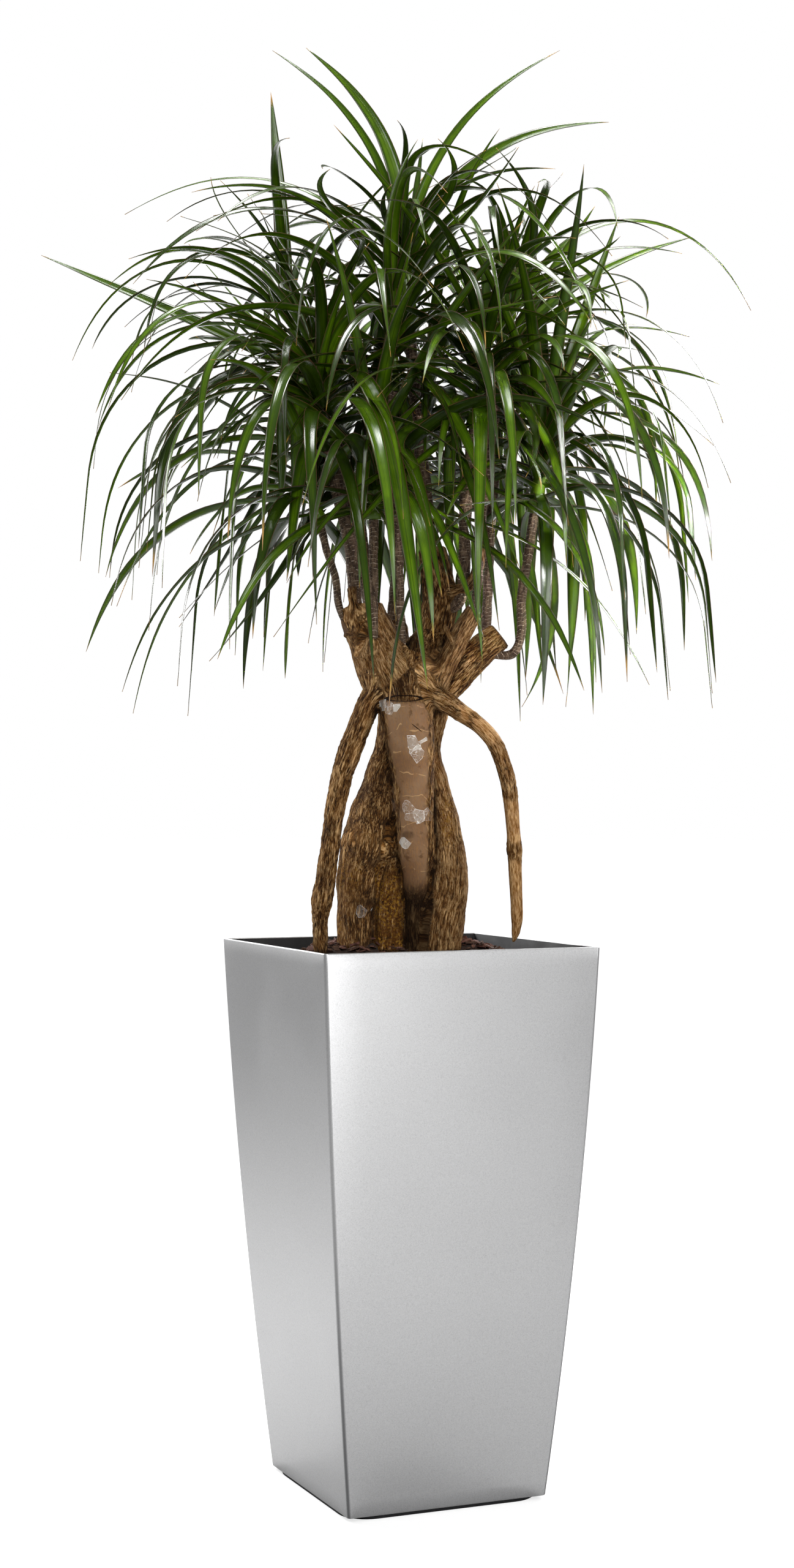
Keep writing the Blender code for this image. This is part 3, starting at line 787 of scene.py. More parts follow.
    def smooth_skin(self, net: Net, plain: Socket, height: Socket, fine: Outputs,
                    blotch: Socket) -> Socket:
        """Smooth skin: taupe with faint pale lines that bow across it, or tan on the hanging root.

        Args:
            net: the material's nodes.
            plain: the place in the plant's own directions.
            height: the height of the strands.
            fine: the fine fibre.
            blotch: broad clouds.

        Returns:
            Its colour.
        """
        skin = net.blend(net.span(blotch, 0.30, 0.72), self.taupe, self.warm)
        skin = net.blend(net.span(fine["Streak"], 0.35, 0.95, 0.0, 0.40), skin, self.ridge)
        skin = net.blend(net.span(net.noise(plain, 85.0, 4.0), 0.58, 0.72, 0.0, 0.55), skin, self.deep)
        across, _, up = net.split(plain)
        aside = net.minus(across, 0.010)
        level = net.plus(up, net.times(net.times(aside, aside), 14.0))
        level = net.plus(level, net.times(net.noise(plain, 26.0, 2.0), 0.050))
        place = net.math("FRACT", net.times(level, 31.0))
        line = net.span(net.off(place, 0.5), 0.030, 0.008)
        line = net.times(line, net.span(net.noise(plain, 75.0, 2.0), 0.44, 0.56))
        skin = net.blend(net.times(line, 0.55), skin, self.crest)
        bare = net.ramp(height, (0.0, self.brown), (0.30, self.ridge), (0.55, self.tan), (1.0, self.crest))
        return net.blend(net.read("pale"), skin, bare)

    @staticmethod
    def near(net: Net, place: Socket, patches: Sequence[Patch], edge: tuple[float, float]) -> Socket:
        """How far a place lies inside any of some patches on the front.

        Args:
            net: the material's nodes.
            place: the place in the plant's own directions.
            patches: the patches.
            edge: where the mask starts and where it is full, as squared shares of the way out.

        Returns:
            A mask between 0 and 1.
        """
        total = net.span(patches[0].away(net, place), *edge)
        for patch in patches[1:]:
            total = net.most(total, net.span(patch.away(net, place), *edge))
        return net.times(total, net.span(net.split(place)[1], -0.004, 0.010))

    def grow_moss(self, net: Net, colour: Socket, plain: Socket) -> Socket:
        """Adds ochre moss over the low stub and in patches on the trunks.

        Args:
            net: the material's nodes.
            colour: the bark's colour.
            plain: the place in the plant's own directions.

        Returns:
            The colour with the moss.
        """
        patches = self.near(net, plain, self.mosses, (1.2, 0.1))
        grown = net.most(net.read("moss"), net.times(patches, 0.50))
        thin = net.times(grown, net.span(net.noise(plain, 260.0, 4.0), 0.38, 0.52, 0.0, 0.8))
        thick = net.times(grown, net.span(net.noise(plain, 60.0, 3.0), 0.34, 0.60, 0.35, 1.0))
        tufts = net.times(thick, net.span(net.noise(plain, 300.0, 5.0), 0.50, 0.58))
        return net.blend(tufts, net.blend(thin, colour, self.rust), self.ochre)

    def dark_lines(self, net: Net, plain: Socket, blotch: Socket) -> Socket:
        """Painted shade along the two thin lips of the fold under the crown, a split in the front trunk, and
        dark patches.

        Args:
            net: the material's nodes.
            plain: the place in the plant's own directions.
            blotch: broad clouds.

        Returns:
            A mask between 0 and 1.
        """
        rim = net.off(self.fold.away(net, plain), 1.0)
        painted_fold_shade = net.times(net.span(rim, 0.42, 0.15), net.span(net.split(plain)[1], 0.02, 0.03))
        split = self.near(net, plain, (self.split,), (1.0, 0.5))
        dark_patches = net.times(self.near(net, plain, self.dark_patches, (1.3, 0.1)),
                           net.span(blotch, 0.30, 0.60, 0.75, 0.40))
        return net.most(net.most(painted_fold_shade, split), dark_patches)

    def film_mask(self, net: Net, plain: Socket) -> tuple[Socket, Socket]:
        """Where a silvery film lifts off the bark in thin, angular flakes, and two small painted highlights
        drawn as film.

        Args:
            net: the material's nodes.
            plain: the place in the plant's own directions.

        Returns:
            The film and its bright rims, between 0 and 1.
        """
        flakes = net.cells(plain, self.film_cells)
        middle = net.sum("ShaderNodeVectorMath", "SCALE", flakes["Position"])
        net.fill(middle, Scale=1.0 / self.film_cells)
        film = self.near(net, middle.outputs[0], self.film_and_highlight_patches, (1.05, 0.95))
        sheen = net.times(net.span(net.split(flakes["Color"])[0], 0.2, 0.9, 0.25, 1.0),
                          net.span(net.noise(plain, 90.0, 3.0), 0.35, 0.62, 0.45, 1.0))
        rim = net.cells(plain, self.film_cells, "DISTANCE_TO_EDGE")["Distance"]
        crease = net.cells(plain, 210.0, "DISTANCE_TO_EDGE")["Distance"]
        line = net.most(net.span(rim, 0.045, 0.015), net.span(crease, 0.060, 0.020, 0.0, 0.5))
        broken = net.span(net.noise(plain, 140.0, 2.0), 0.42, 0.58, 0.15, 1.0)
        return net.times(film, sheen), net.times(net.times(line, film), broken)


@dataclass(frozen=True)
class CaneSkin:
    """The canes' brown skin with fine pale rings where leaves once grew."""

    dark: Colour = (0.042, 0.024, 0.014)
    brown: Colour = (0.215, 0.142, 0.090)
    ring: Colour = (0.640, 0.520, 0.400)
    tan: Colour = (0.360, 0.225, 0.140)
    streak_depth: float = 0.0006

    def build(self, shared: Shared) -> Material:
        """Makes the material.

        Args:
            shared: the node groups.

        Returns:
            The material.
        """
        material, net, shader = start_material("cane_skin")
        drawn = net.read("drawn", "Vector")
        fibre = net.use(shared.fibre, Place=drawn, Across=300.0, Along=90.0)
        relief = net.read("relief")
        blotch = net.noise(drawn, 75.0, 3.0)
        colour = net.blend(net.span(fibre["Streak"], 0.1, 0.9), self.dark, self.brown)
        colour = net.blend(net.span(blotch, 0.36, 0.64, 0.55, 0.0), colour, self.dark)
        colour = net.blend(net.read("fresh"), colour, self.tan)
        broken = net.span(net.noise(drawn, 260.0, 3.0), 0.34, 0.58, 0.15, 0.95)
        colour = net.blend(net.times(net.span(relief, 0.45, 0.90), broken), colour, self.ring)
        colour = net.blend(net.span(relief, -0.6, -0.2, 0.75, 0.0), colour, self.dark)
        net.fill(shader, Base_Color=colour, Roughness=net.span(fibre["Fleck"], 0.0, 1.0, 0.76, 0.58),
                 Specular_IOR_Level=0.25, Normal=net.bump(fibre["Streak"], self.streak_depth))
        return material


@dataclass(frozen=True)
class LeafSkin:
    """The leaves' glossy skin: ribbed dark green, a brighter middle painted as light shining through, thin
    red edges, some dry tips.
    """

    dark: Colour = (0.0100, 0.0225, 0.0009)
    green: Colour = (0.0340, 0.0760, 0.0016)
    # Used for the painted glow in the middle and for the paler leaf base
    bright: Colour = (0.125, 0.240, 0.004)
    edge: Colour = (0.085, 0.026, 0.012)
    yellow: Colour = (0.420, 0.230, 0.045)
    straw: Colour = (0.430, 0.250, 0.115)
    roughness: float = 0.13
    rib_depth: float = 0.00007

    def build(self, shared: Shared) -> Material:
        """Makes the material.

        Args:
            shared: the node groups.

        Returns:
            The material.
        """
        material, net, shader = start_material("leaf_skin")
        blade = net.node("ShaderNodeUVMap", {"uv_map": "blade"}).outputs[0]
        across, along, _ = net.split(blade)
        tone = net.read("tone")
        fine = net.use(shared.grain, Place=net.own_place(), Fine=900.0, Broad=26.0)
        ribbed = net.node("ShaderNodeCombineXYZ", X=net.times(across, 17.0), Y=net.times(along, 2.0),
                          Z=net.times(tone, 91.0)).outputs[0]
        ribs = net.node("ShaderNodeTexNoise", Vector=ribbed, Scale=1.0, Detail=2.0)
        rib = net.span(ribs.outputs["Fac"], 0.3, 0.7)
        middle = net.off(across, 0.5)

        colour = net.blend(net.span(tone, 0.0, 0.9), self.dark, self.green)
        # Painted light: a brighter middle in place of light shining through the leaf
        painted_glow = net.times(net.span(middle, 0.40, 0.10), net.span(tone, 0.15, 1.0, 0.15, 0.85))
        painted_glow = net.times(painted_glow, net.span(fine["Cloud"], 0.0, 1.0, 0.45, 1.0))
        colour = net.blend(painted_glow, colour, self.bright)
        colour = net.blend(net.times(rib, 0.45), colour, self.dark)
        colour = net.blend(net.span(middle, 0.035, 0.015, 0.0, 0.35), colour, self.dark)
        colour = net.blend(net.span(middle, 0.445, 0.475, 0.0, 0.75), colour, self.edge)
        colour = net.blend(net.span(along, 0.05, 0.0, 0.0, 0.7), colour, self.bright)
        wither = net.plus(along, net.times(net.minus(rib, 0.5), 0.02))
        end = net.minus(1.0, net.times(net.read("dry"), 0.16))
        gone = net.times(net.minus(wither, end), 30.0)
        colour = net.blend(net.span(gone, -1.2, 0.2), colour, self.yellow)
        colour = net.blend(net.span(gone, 0.0, 1.0), colour, self.straw)

        rough = net.math("MULTIPLY_ADD", rib, 0.12, self.roughness)
        rough = net.plus(rough, net.span(gone, -0.5, 0.5, 0.0, 0.35))
        rough = net.plus(rough, net.span(middle, 0.455, 0.490, 0.0, 0.50))
        net.fill(shader, Base_Color=colour, Roughness=rough, Specular_IOR_Level=0.36,
                 Normal=net.bump(rib, self.rib_depth))
        return material


@dataclass(frozen=True)
class Softbox:
    """A soft light: where it hangs and looks, its width and height, its power in watts and its beam."""

    place: Place
    target: Place
    size: tuple[float, float]
    power: float
    spread: float = math.pi


SOFTBOXES = {
    "key": Softbox((-0.95, -2.3, 2.2), (0.0, 0.0, 0.9), (1.0, 1.0), 46.0),
    "low_front": Softbox((0.14, -2.3, 0.64), (0.0, 0.0, 0.5), (0.8, 1.0), 9.2),
    "low_back": Softbox((-0.9, 1.0, 1.4), (-0.5, 0.5, 0.0), (0.5, 0.5), 15.0),
    "fill": Softbox((2.4, -2.0, 1.5), (0.0, 0.0, 1.3), (1.2, 1.6), 14.0),
    "leaf_grid": Softbox((1.6, -2.3, 2.3), (0.36, 0.0, 1.45), (0.45, 0.45), 4.5, math.radians(17.0)),
    "overhead": Softbox((0.1, 0.3, 3.9), (0.0, 0.0, 1.5), (1.1, 1.1), 110.0),
    "back_left": Softbox((-2.3, 2.2, 2.3), (0.0, 0.0, 1.5), (0.5, 1.5), 55.0),
    "back_right": Softbox((2.5, 1.6, 2.5), (0.0, 0.0, 1.4), (0.7, 1.8), 115.0),
    "backdrop": Softbox((1.3, 3.0, 1.5), (0.0, 0.0, 1.3), (2.6, 1.8), 55.0),
}


@dataclass
class Studio:
    """The pale floor, the soft lights and the camera."""

    camera_place: Place = (-1.364, -3.1708, 0.9503)
    camera_turn: float = 0.4026
    camera_rise: float = 0.0076
    focal_pixels: float = 4026.6
    image_height: float = 2560.0
    sensor: float = 36.0
    floor_radius: float = 60.0
    floor_steps: int = 96
    ambient: float = 0.20
    horizon_glow: float = 0.10
    glow_side: Place = (0.42, -0.90, 0.10)

    def build(self) -> None:
        """Makes the camera, the floor, the lights and the backdrop's light."""
        self.build_camera()
        self.build_floor()
        for name, box in SOFTBOXES.items():
            self.hang(name, box)
        self.build_world()

    def build_camera(self) -> None:
        """Sets the camera where the photograph was taken from."""
        camera = bpy.data.objects.new("camera", bpy.data.cameras.new("camera"))
        bpy.context.scene.collection.objects.link(camera)
        camera.data.sensor_width = self.sensor
        camera.data.lens = self.focal_pixels / self.image_height * self.sensor
        camera.location = self.camera_place
        camera.rotation_euler = (math.radians(90.0) + self.camera_rise, 0.0, -self.camera_turn)
        bpy.context.scene.camera = camera

    def build_floor(self) -> None:
        """Lays a round pale floor that glows white to the camera out to the horizon, and glows less under
        the planter as a painted soft shadow.
        """
        steps = self.floor_steps
        x_way, y_way = Vector((1.0, 0.0, 0.0)), Vector((0.0, 1.0, 0.0))
        rim = ring_points(Vector(), x_way, y_way, self.floor_radius, steps)
        floor = bpy.data.objects.new("floor", make_mesh("floor", rim, [tuple(range(steps))], smooth=False))
        bpy.context.scene.collection.objects.link(floor)
        material, net, shader = start_material("pale_floor")
        place = net.own_place()
        colour = net.blend(net.noise(place, 3.0, 3.0), (0.33, 0.33, 0.33), (0.37, 0.37, 0.37))
        far = net.sum("ShaderNodeVectorMath", "LENGTH", place).outputs["Value"]
        # Painted light: the floor glows for camera rays, less near the planter as a painted soft shadow
        glow = net.span(far, 0.15, 0.9, 0.72, 1.0)
        seen = net.node("ShaderNodeLightPath").outputs["Is Camera Ray"]
        net.fill(shader, Base_Color=colour, Roughness=0.9, Specular_IOR_Level=0.1,
                 Emission_Color=(1.0, 1.0, 1.0), Emission_Strength=net.times(glow, seen))
        floor.data.materials.append(material)

    def hang(self, name: str, box: Softbox) -> None:
        """Hangs a soft light.

        Args:
            name: its name.
            box: the light.
        """
        data = bpy.data.lights.new(name, "AREA")
        data.shape = "RECTANGLE"
        data.size, data.size_y = box.size
        data.energy = box.power
        data.spread = box.spread
        light = bpy.data.objects.new(name, data)
        bpy.context.scene.collection.objects.link(light)
        light.location = box.place
        light.rotation_euler = (Vector(box.target) - Vector(box.place)).to_track_quat("-Z", "Y").to_euler()
        light.visible_camera = False

    def build_world(self) -> None:
        """Makes a white backdrop that lights the plant only a little, and most from the front right."""
        scene = bpy.context.scene
        scene.view_settings.view_transform = "Standard"
        world = bpy.data.worlds.new("backdrop")
        scene.world = world
        world.use_nodes = True
        net = Net(world.node_tree)
        heading = net.node("ShaderNodeTexCoord").outputs["Generated"]
        toward = net.sum("ShaderNodeVectorMath", "DOT_PRODUCT", heading, self.glow_side).outputs["Value"]
        front = net.span(toward, 0.2, 1.0, 0.0, self.horizon_glow)
        seen = net.node("ShaderNodeLightPath").outputs["Is Camera Ray"]
        net.fill(world.node_tree.nodes["Background"], Color=(1.0, 1.0, 1.0),
                 Strength=net.most(net.plus(front, self.ambient), seen))


@dataclass
class Planter:
    """The tall square shell, which bows outwards from its base to its rim."""

    foot_height: float = 0.005
    foot_half: float = 0.143
    foot_corner: float = 0.040
    height: float = 0.750
    base_half: float = 0.146
    rim_half: float = 0.2015
    flare: float = 0.105
    wall: float = 0.0045
    floor: float = 0.005
    edge_radius: float = 0.006
    ledge_top: float = 0.724
    ledge_height: float = 0.005
    ledge_width: float = 0.009
    rings: int = 36
    inner_rings: int = 8
    corner_steps: int = 9
    flat_steps: int = 8
    lip_steps: int = 8
    lip_drop: float = 0.55
    softness: float = 0.0008
    # How far in the painted shade on the upright edges reaches, and how it fades upwards
    shade_reach: tuple[float, float] = (0.0050, 0.0024)
    shade_fade: tuple[float, float] = (0.05, 0.60)

    def flank_half(self, height: float) -> float:
        """Half the shell's outer width at a height above the ground.

        Args:
            height: the height.

        Returns:
            Half the width.
        """
        rise = height - self.foot_height
        bow = (self.base_half + self.flare * self.height - self.rim_half) / self.height ** 2
        return self.base_half + self.flare * rise - bow * rise ** 2

    def square(self, half: float, radius: float, height: float) -> list[Place]:
        """A level ring: a square of this half width with round corners and even points along its sides.

        Args:
            half: half the width.
            radius: the corners' radius.
            height: the ring's height.

        Returns:
            The ring's points.
        """
        ring = []
        for corner in range(4):
            middle = math.radians(45.0 + 90.0 * corner)
            reach = (half - radius) * math.sqrt(2.0)
            centre = (math.cos(middle) * reach, math.sin(middle) * reach)
            for step in range(self.corner_steps + 1):
                angle = middle + math.radians(-45.0 + 90.0 * step / self.corner_steps)
                ring.append((centre[0] + math.cos(angle) * radius, centre[1] + math.sin(angle) * radius,
                             height))
            start = Vector(ring[-1])
            turned = Matrix.Rotation(math.radians(90.0), 3, "Z") @ Vector(ring[-self.corner_steps - 1])
            ring += [tuple(start.lerp(turned, i / self.flat_steps)) for i in range(1, self.flat_steps)]
        return ring

    def shell_ring(self, height: float, inset: float = 0.0) -> list[Place]:
        """The shell's section at a height, drawn in by an inset."""
        return self.square(self.flank_half(height) - inset, max(self.edge_radius - inset, 0.002), height)

    def rim_rings(self, rim: float) -> list[list[Place]]:
        """The rings over the rim's rounded lip.

        Args:
            rim: the rim's height.

        Returns:
            The rings from the outside to the inside.
        """
        half = 0.5 * self.wall
        angles = (math.pi * step / self.lip_steps for step in range(self.lip_steps + 1))
        return [self.shell_ring(rim - half * self.lip_drop * (1.0 - math.sin(angle)),
                                half - half * math.cos(angle)) for angle in angles]

    def edge_shade(self, x: float, y: float, z: float) -> float:
        """How much painted shade darkens the upright edges at a place, more so lower down, between 0 and 1.
        """
        inward = self.flank_half(z) - min(abs(x), abs(y))
        return ease(*self.shade_reach, inward) * mix(1.0, 0.25, ease(*self.shade_fade, z))

    def build(self, finish: Material, lining: Material) -> None:
        """Makes the shell with its foot, lip, ledge and floor.

        Args:
            finish: its material outside.
            lining: its material inside, below the lip.
        """
        low, soft = self.foot_height, self.softness
        rings = [
            self.square(self.foot_half - soft, self.foot_corner, 0.0),
            self.square(self.foot_half, self.foot_corner, soft),
            self.square(self.foot_half, self.foot_corner, low),
            self.shell_ring(low, soft),
            self.shell_ring(low + soft),
        ]
        rings += [self.shell_ring(low + self.height * i / self.rings) for i in range(1, self.rings)]
        rings += self.rim_rings(low + self.height)
        lined = len(rings) - 1
        bottom = self.ledge_top - self.ledge_height
        rings += [
            self.shell_ring(self.ledge_top, self.wall),
            self.shell_ring(self.ledge_top, self.wall + self.ledge_width),
            self.shell_ring(bottom, self.wall + self.ledge_width),
            self.shell_ring(bottom - self.ledge_width, self.wall),
        ]
        rings += [self.shell_ring(low + self.height * i / self.inner_rings, self.wall)
                  for i in reversed(range(1, self.inner_rings))]
        rings.append(self.shell_ring(low + self.floor, self.wall))
        mesh = mesh_of_rings("planter", rings)
        foot, top = 3 * len(rings[0]), lined * len(rings[0])
        inside = [face.index >= top or face.index < foot for face in mesh.polygons]
        mesh.polygons.foreach_set("material_index", np.array(inside, dtype=np.int32))
        # Painted shade along the upright edges, for the finish to read
        store(mesh, "edge", [self.edge_shade(*point) for ring in rings for point in ring])
        add_piece("planter", mesh, Slot.PLANTER, "planter_shell", finish, lining)


@dataclass
class Liner:
    """The black tub that hangs by its flange inside the shell."""

    planter: Planter
    gap: float = 0.0003
    flange: float = 0.003
    side_play: float = 0.0008
    wall: float = 0.003
    floor_top: float = 0.333
    base_half: float = 0.150
    neck_play: float = 0.002
    softness: float = 0.0007
    corner: float = 0.006
    side_corner: float = 0.007
    foot_corner: float = 0.008
    flange_corner: float = 0.002
    foot_round: float = 0.002
    rings: int = 6

    def half(self, height: float, inset: float = 0.0) -> float:
        """Half the liner's outer width at a height, drawn in by an inset.

        Args:
            height: the height.
            inset: how far it is drawn in.

        Returns:
            Half the width.
        """
        top = self.planter.ledge_top
        neck = self.planter.flank_half(top) - self.planter.wall - self.planter.ledge_width - self.neck_play
        base = self.floor_top - self.wall
        return self.base_half + (neck - self.base_half) * (height - base) / (top - base) - inset

    def build(self, finish: Material) -> None:
        """Makes the tub with its softened flange.

        Args:
            finish: its material.
        """
        shell = self.planter
        low = shell.ledge_top + self.gap
        top = low + self.flange
        reach = shell.flank_half(shell.ledge_top) - shell.wall - self.side_play
        base = self.floor_top - self.wall
        neck = self.half(shell.ledge_top)
        soft, foot, corner, outer = self.softness, self.foot_corner, self.corner, self.flange_corner
        heights = [base + (low - base) * i / self.rings for i in range(1, self.rings)]
        rings = [shell.square(self.half(base) - self.foot_round, foot, base),
                 shell.square(self.half(base), foot, base + self.foot_round)]
        rings += [shell.square(self.half(height), self.side_corner, height) for height in heights]
        rings += [
            shell.square(neck, corner, low),
            shell.square(reach, outer, low),
            shell.square(reach, outer, top - soft),
            shell.square(reach - soft, outer, top),
            shell.square(neck - self.wall + soft, corner, top),
            shell.square(neck - self.wall, corner, top - soft),
        ]
        rings += [shell.square(self.half(height, self.wall), corner, height) for height in reversed(heights)]
        rings.append(shell.square(self.half(self.floor_top, self.wall), corner, self.floor_top))
        add_piece("liner_tub", mesh_of_rings("liner", rings), Slot.LINER, "liner", finish)


@dataclass
class Soil:
    """A low mound of bark chips round the feet of the trunks."""

    liner: Liner
    edge_height: float = 0.712
    centre_height: float = 0.762
    front_dip: float = 0.022
    steps: int = 56
    crumb: float = 0.0035
    chip_cover: float = 0.004
    chip_margin: float = 0.009
    chips: int = 2200
    chip_length: tuple[float, float] = (0.0035, 0.0120)
    chip_width: tuple[float, float] = (0.45, 0.85)
    chip_thickness: tuple[float, float] = (0.16, 0.35)
    chip_lift: tuple[float, float] = (-0.003, 0.0015)
    chip_lean: tuple[float, float] = (0.42, 0.35)
    chip_corners: tuple[int, ...] = (5, 6, 7)
    seed: int = 7

    def surface(self, across: float, along: float) -> float:
        """The mound's height over a place.

        Args:
            across: the place along X.
            along: the place along Y.

        Returns:
            The height.
        """
        edge = self.liner.half(self.edge_height, self.liner.wall)
        share = min(1.0, max(abs(across), abs(along)) / edge)
        round_share = min(1.0, math.hypot(across, along) / edge)
        slope = mix(share, round_share, 0.5) ** 3
        towards = -across * math.sin(PLANT_TURN) - along * math.cos(PLANT_TURN)
        dip = self.front_dip * ease(0.020, 0.050, towards) * (1.0 - slope)
        return mix(self.centre_height, self.edge_height, slope) - dip

    def build(self, finish: Material) -> None:
        """Makes the mound and strews its chips.

        Args:
            finish: their material.
        """
        points, faces, tones = self.mound()
        self.strew(points, faces, tones)
        mesh = make_mesh("soil_bed", points, faces, smooth=False)
        store(mesh, "tone", tones)
        add_piece("soil_bed", mesh, Slot.SOIL, "soil", finish)

    def mound(self) -> tuple[list[Place], Faces, list[float]]:
        """The crumbly body of the soil.

        Returns:
            Its points, faces and tones.
        """
        bottom = self.liner.floor_top + self.liner.gap
        top_half = self.liner.half(self.edge_height, self.liner.wall + self.liner.gap)
        low_half = self.liner.half(bottom, self.liner.wall + self.liner.gap)
        count = self.steps
        points, tones = [], []
        for i in range(count + 1):
            for j in range(count + 1):
                across, along = (2.0 * i / count - 1.0) * top_half, (2.0 * j / count - 1.0) * top_half
                crumb = 0.0
                if 0 < i < count and 0 < j < count:
                    crumb = noise.fractal(Vector((across, along, 3.0)) * 60.0, 0.8, 2.2, 4) * self.crumb
                points.append((across, along, self.surface(across, along) - self.chip_cover + crumb))
                tones.append(0.1 + 0.35 * noise.noise(Vector((across, along, 0.0)) * 150.0))
        faces = []
        for i in range(count):
            for j in range(count):
                first = i * (count + 1) + j
                faces.append((first, first + count + 1, first + count + 2, first + 1))
        rim = [i * (count + 1) for i in range(count)]
        rim += [count * (count + 1) + j for j in range(count)]
        rim += [i * (count + 1) + count for i in range(count, 0, -1)]
        rim += list(range(count, 0, -1))
        start = len(points)
        for index in rim:
            across, along, _ = points[index]
            points.append((across * low_half / top_half, along * low_half / top_half, bottom))
            tones.append(0.0)
        for i in range(len(rim)):
            j = (i + 1) % len(rim)
            faces.append((rim[i], rim[j], start + j, start + i))
        faces.append(tuple(range(start, start + len(rim))))
        return points, faces, tones

    def strew(self, points: list[Place], faces: Faces, tones: list[float]) -> None:
        """Adds flat, split chips over the mound.

        Args:
            points: the points to add to.
            faces: the faces to add to.
            tones: the tones to add to.
        """
        draw = random.Random(self.seed)
        reach = self.liner.half(self.edge_height, self.liner.wall) - self.chip_margin
        for _ in range(self.chips):
            across, along = draw.uniform(-reach, reach), draw.uniform(-reach, reach)
            length = mix(*self.chip_length, draw.random() ** 2)
            width = length * draw.uniform(*self.chip_width)
            thick = length * draw.uniform(*self.chip_thickness)
            turn = Matrix.Rotation(draw.uniform(0.0, math.tau), 3, "Z")
            roll, pitch = (draw.gauss(0.0, spread) for spread in self.chip_lean)
            lean = Matrix.Rotation(roll, 3, "X") @ Matrix.Rotation(pitch, 3, "Y")
            centre = Vector((across, along, self.surface(across, along) + draw.uniform(*self.chip_lift)))
            corners = draw.choice(self.chip_corners)
            start = len(points)
            for level in (-1.0, 1.0):
                for i in range(corners):
                    angle = math.tau * i / corners + draw.uniform(-0.3, 0.3)
                    size = draw.uniform(0.72, 1.0)
                    place = Vector((math.cos(angle) * length * size, math.sin(angle) * width * size,
                                    level * thick * draw.uniform(0.35, 0.6)))
                    points.append(tuple(centre + turn @ (lean @ place)))
            shade = 0.45 + 0.55 * draw.random()
            tones += [shade] * (2 * corners)
            faces += tube_faces(2, corners, start)


@dataclass(frozen=True)
class Limb:
    """A trunk, root or stump: its route of (across, towards, up, radius), and how its bark looks."""

    stations: tuple[tuple[float, float, float, float], ...]
    rough: float = 1.0
    smooth: float = 0.0
    pale: float = 0.0
    moss: float = 0.0
    sawn: bool = False
    scale: float = 1.0
    bare: tuple[tuple[float, float], ...] = ()

    def places(self) -> list[Vector]:
        """The places along its middle, in the planter's frame."""
        return [plant_point(*station[:3]) for station in self.stations]

    def radii(self) -> list[float]:
        """The radius at each place."""
        return [station[3] for station in self.stations]


def metres(*sizes: float) -> tuple[float, ...]:
    """Millimetres as metres."""
    return tuple(size / 1000.0 for size in sizes)


def wood(*stations: tuple[float, float, float, float], **looks: object) -> Limb:
    """A limb through stations in millimetres."""
    return Limb(tuple(metres(*station) for station in stations), **looks)


LIMBS = {
    "front_trunk": wood((8, 32, 700, 7), (9, 34, 752, 8.5), (10, 37, 803, 10), (14, 40, 842, 18),
        (14, 43, 885, 25), (12, 45, 932, 25.5), (10, 44, 985, 29), (6, 42, 1034, 34), (0, 36, 1078, 36.5),
        (-1, 28, 1092, 34), rough=0.75, smooth=1.0),
    "left_trunk": wood((-66, 6, 672, 22), (-68, 6, 745, 27.5), (-68, 4, 800, 28.5), (-63, 0, 848, 33.5),
        (-52, -6, 888, 41), (-45, -10, 930, 34.5), (-36, -10, 982, 24), (-25, -8, 1034, 17.5),
        (-16, 0, 1090, 22), rough=0.8, smooth=0.10),
    "right_trunk": wood((45, 20, 672, 25), (44, 20, 745, 33.5), (47, 19, 785, 34.5), (55, 14, 825, 30.5),
        (56, 10, 866, 29), (51, 8, 915, 25), (41, 6, 972, 19.5), (31, 6, 1024, 17.5), (38, 4, 1085, 22),
        rough=0.9, smooth=0.12, pale=0.75),
    "root_stub": wood((-46, 10, 684, 17), (-23, 18, 742, 23), (-20, 18, 790, 21.5), (-18, 20, 832, 18.5),
        (-15, 22, 874, 9), rough=0.9, moss=1.0),
    "left_root": wood((-116, 36, 695, 8), (-119, 36, 777, 10), (-116, 36, 818, 15), (-110, 36, 856, 13.5),
        (-100, 34, 932, 13.5), (-90.5, 33, 982, 14.5), (-80.5, 31, 1016, 16.2), (-67, 29, 1050, 15.8),
        (-53, 26, 1085, 16.5), (-36, 18, 1112, 18), rough=0.85, pale=0.25, scale=0.7),
    "right_root": wood((6, 18, 1098, 12), (32, 32, 1100, 16.5), (54, 42, 1090, 15), (77, 46, 1074, 12.5),
        (101, 48, 1057, 11.2), (120, 50, 1036, 11.2), (132, 50, 1010, 11), (142, 50, 972, 10.8),
        (148, 48, 912, 9.6), (149, 48, 888, 11), (150, 47, 868, 9.6), (153, 45, 800, 8.6),
        (152, 44, 775, 6.6), (148, 44, 757, 2), rough=0.7, pale=1.0, scale=0.6,
        bare=(metres(83, 97), metres(108, 148), metres(230, 286), metres(312, 440))),
    "crown": wood((-8, 12, 1070, 33), (-4, 10, 1088, 48), (0, 6, 1110, 56), (4, 2, 1134, 52),
        (8, -2, 1155, 36)),
    "left_stump": wood((-10, 10, 1096, 40), (-30, 12, 1140, 40), (-47, 10, 1182, 35), (-58, 8, 1205, 33),
        (-62, 6, 1224, 30), smooth=0.22, pale=1.0, sawn=True),
    "centre_stump": wood((20, -10, 1110, 36), (30, -13, 1158, 33), (40, -14, 1190, 25.5),
        (48, -16, 1230, 25), (43, -18, 1275, 21.5), (36, -20, 1308, 19), sawn=True),
    "pale_stump": wood((40, 12, 1112, 17), (62, 24, 1156, 15), (82, 32, 1194, 14), (96, 36, 1218, 13),
        rough=0.55, smooth=0.25, pale=0.45, sawn=True, scale=0.7),
    "right_stump": wood((34, -10, 1096, 25), (62, -16, 1120, 23.5), (85, -20, 1145, 23),
        (110, -22, 1168, 21.5), (133, -22, 1186, 19.5), sawn=True),
    "back_stump": wood((-4, -12, 1108, 34), (-12, -40, 1140, 27), (-18, -62, 1178, 23),
        (-20, -70, 1206, 21), sawn=True),
}

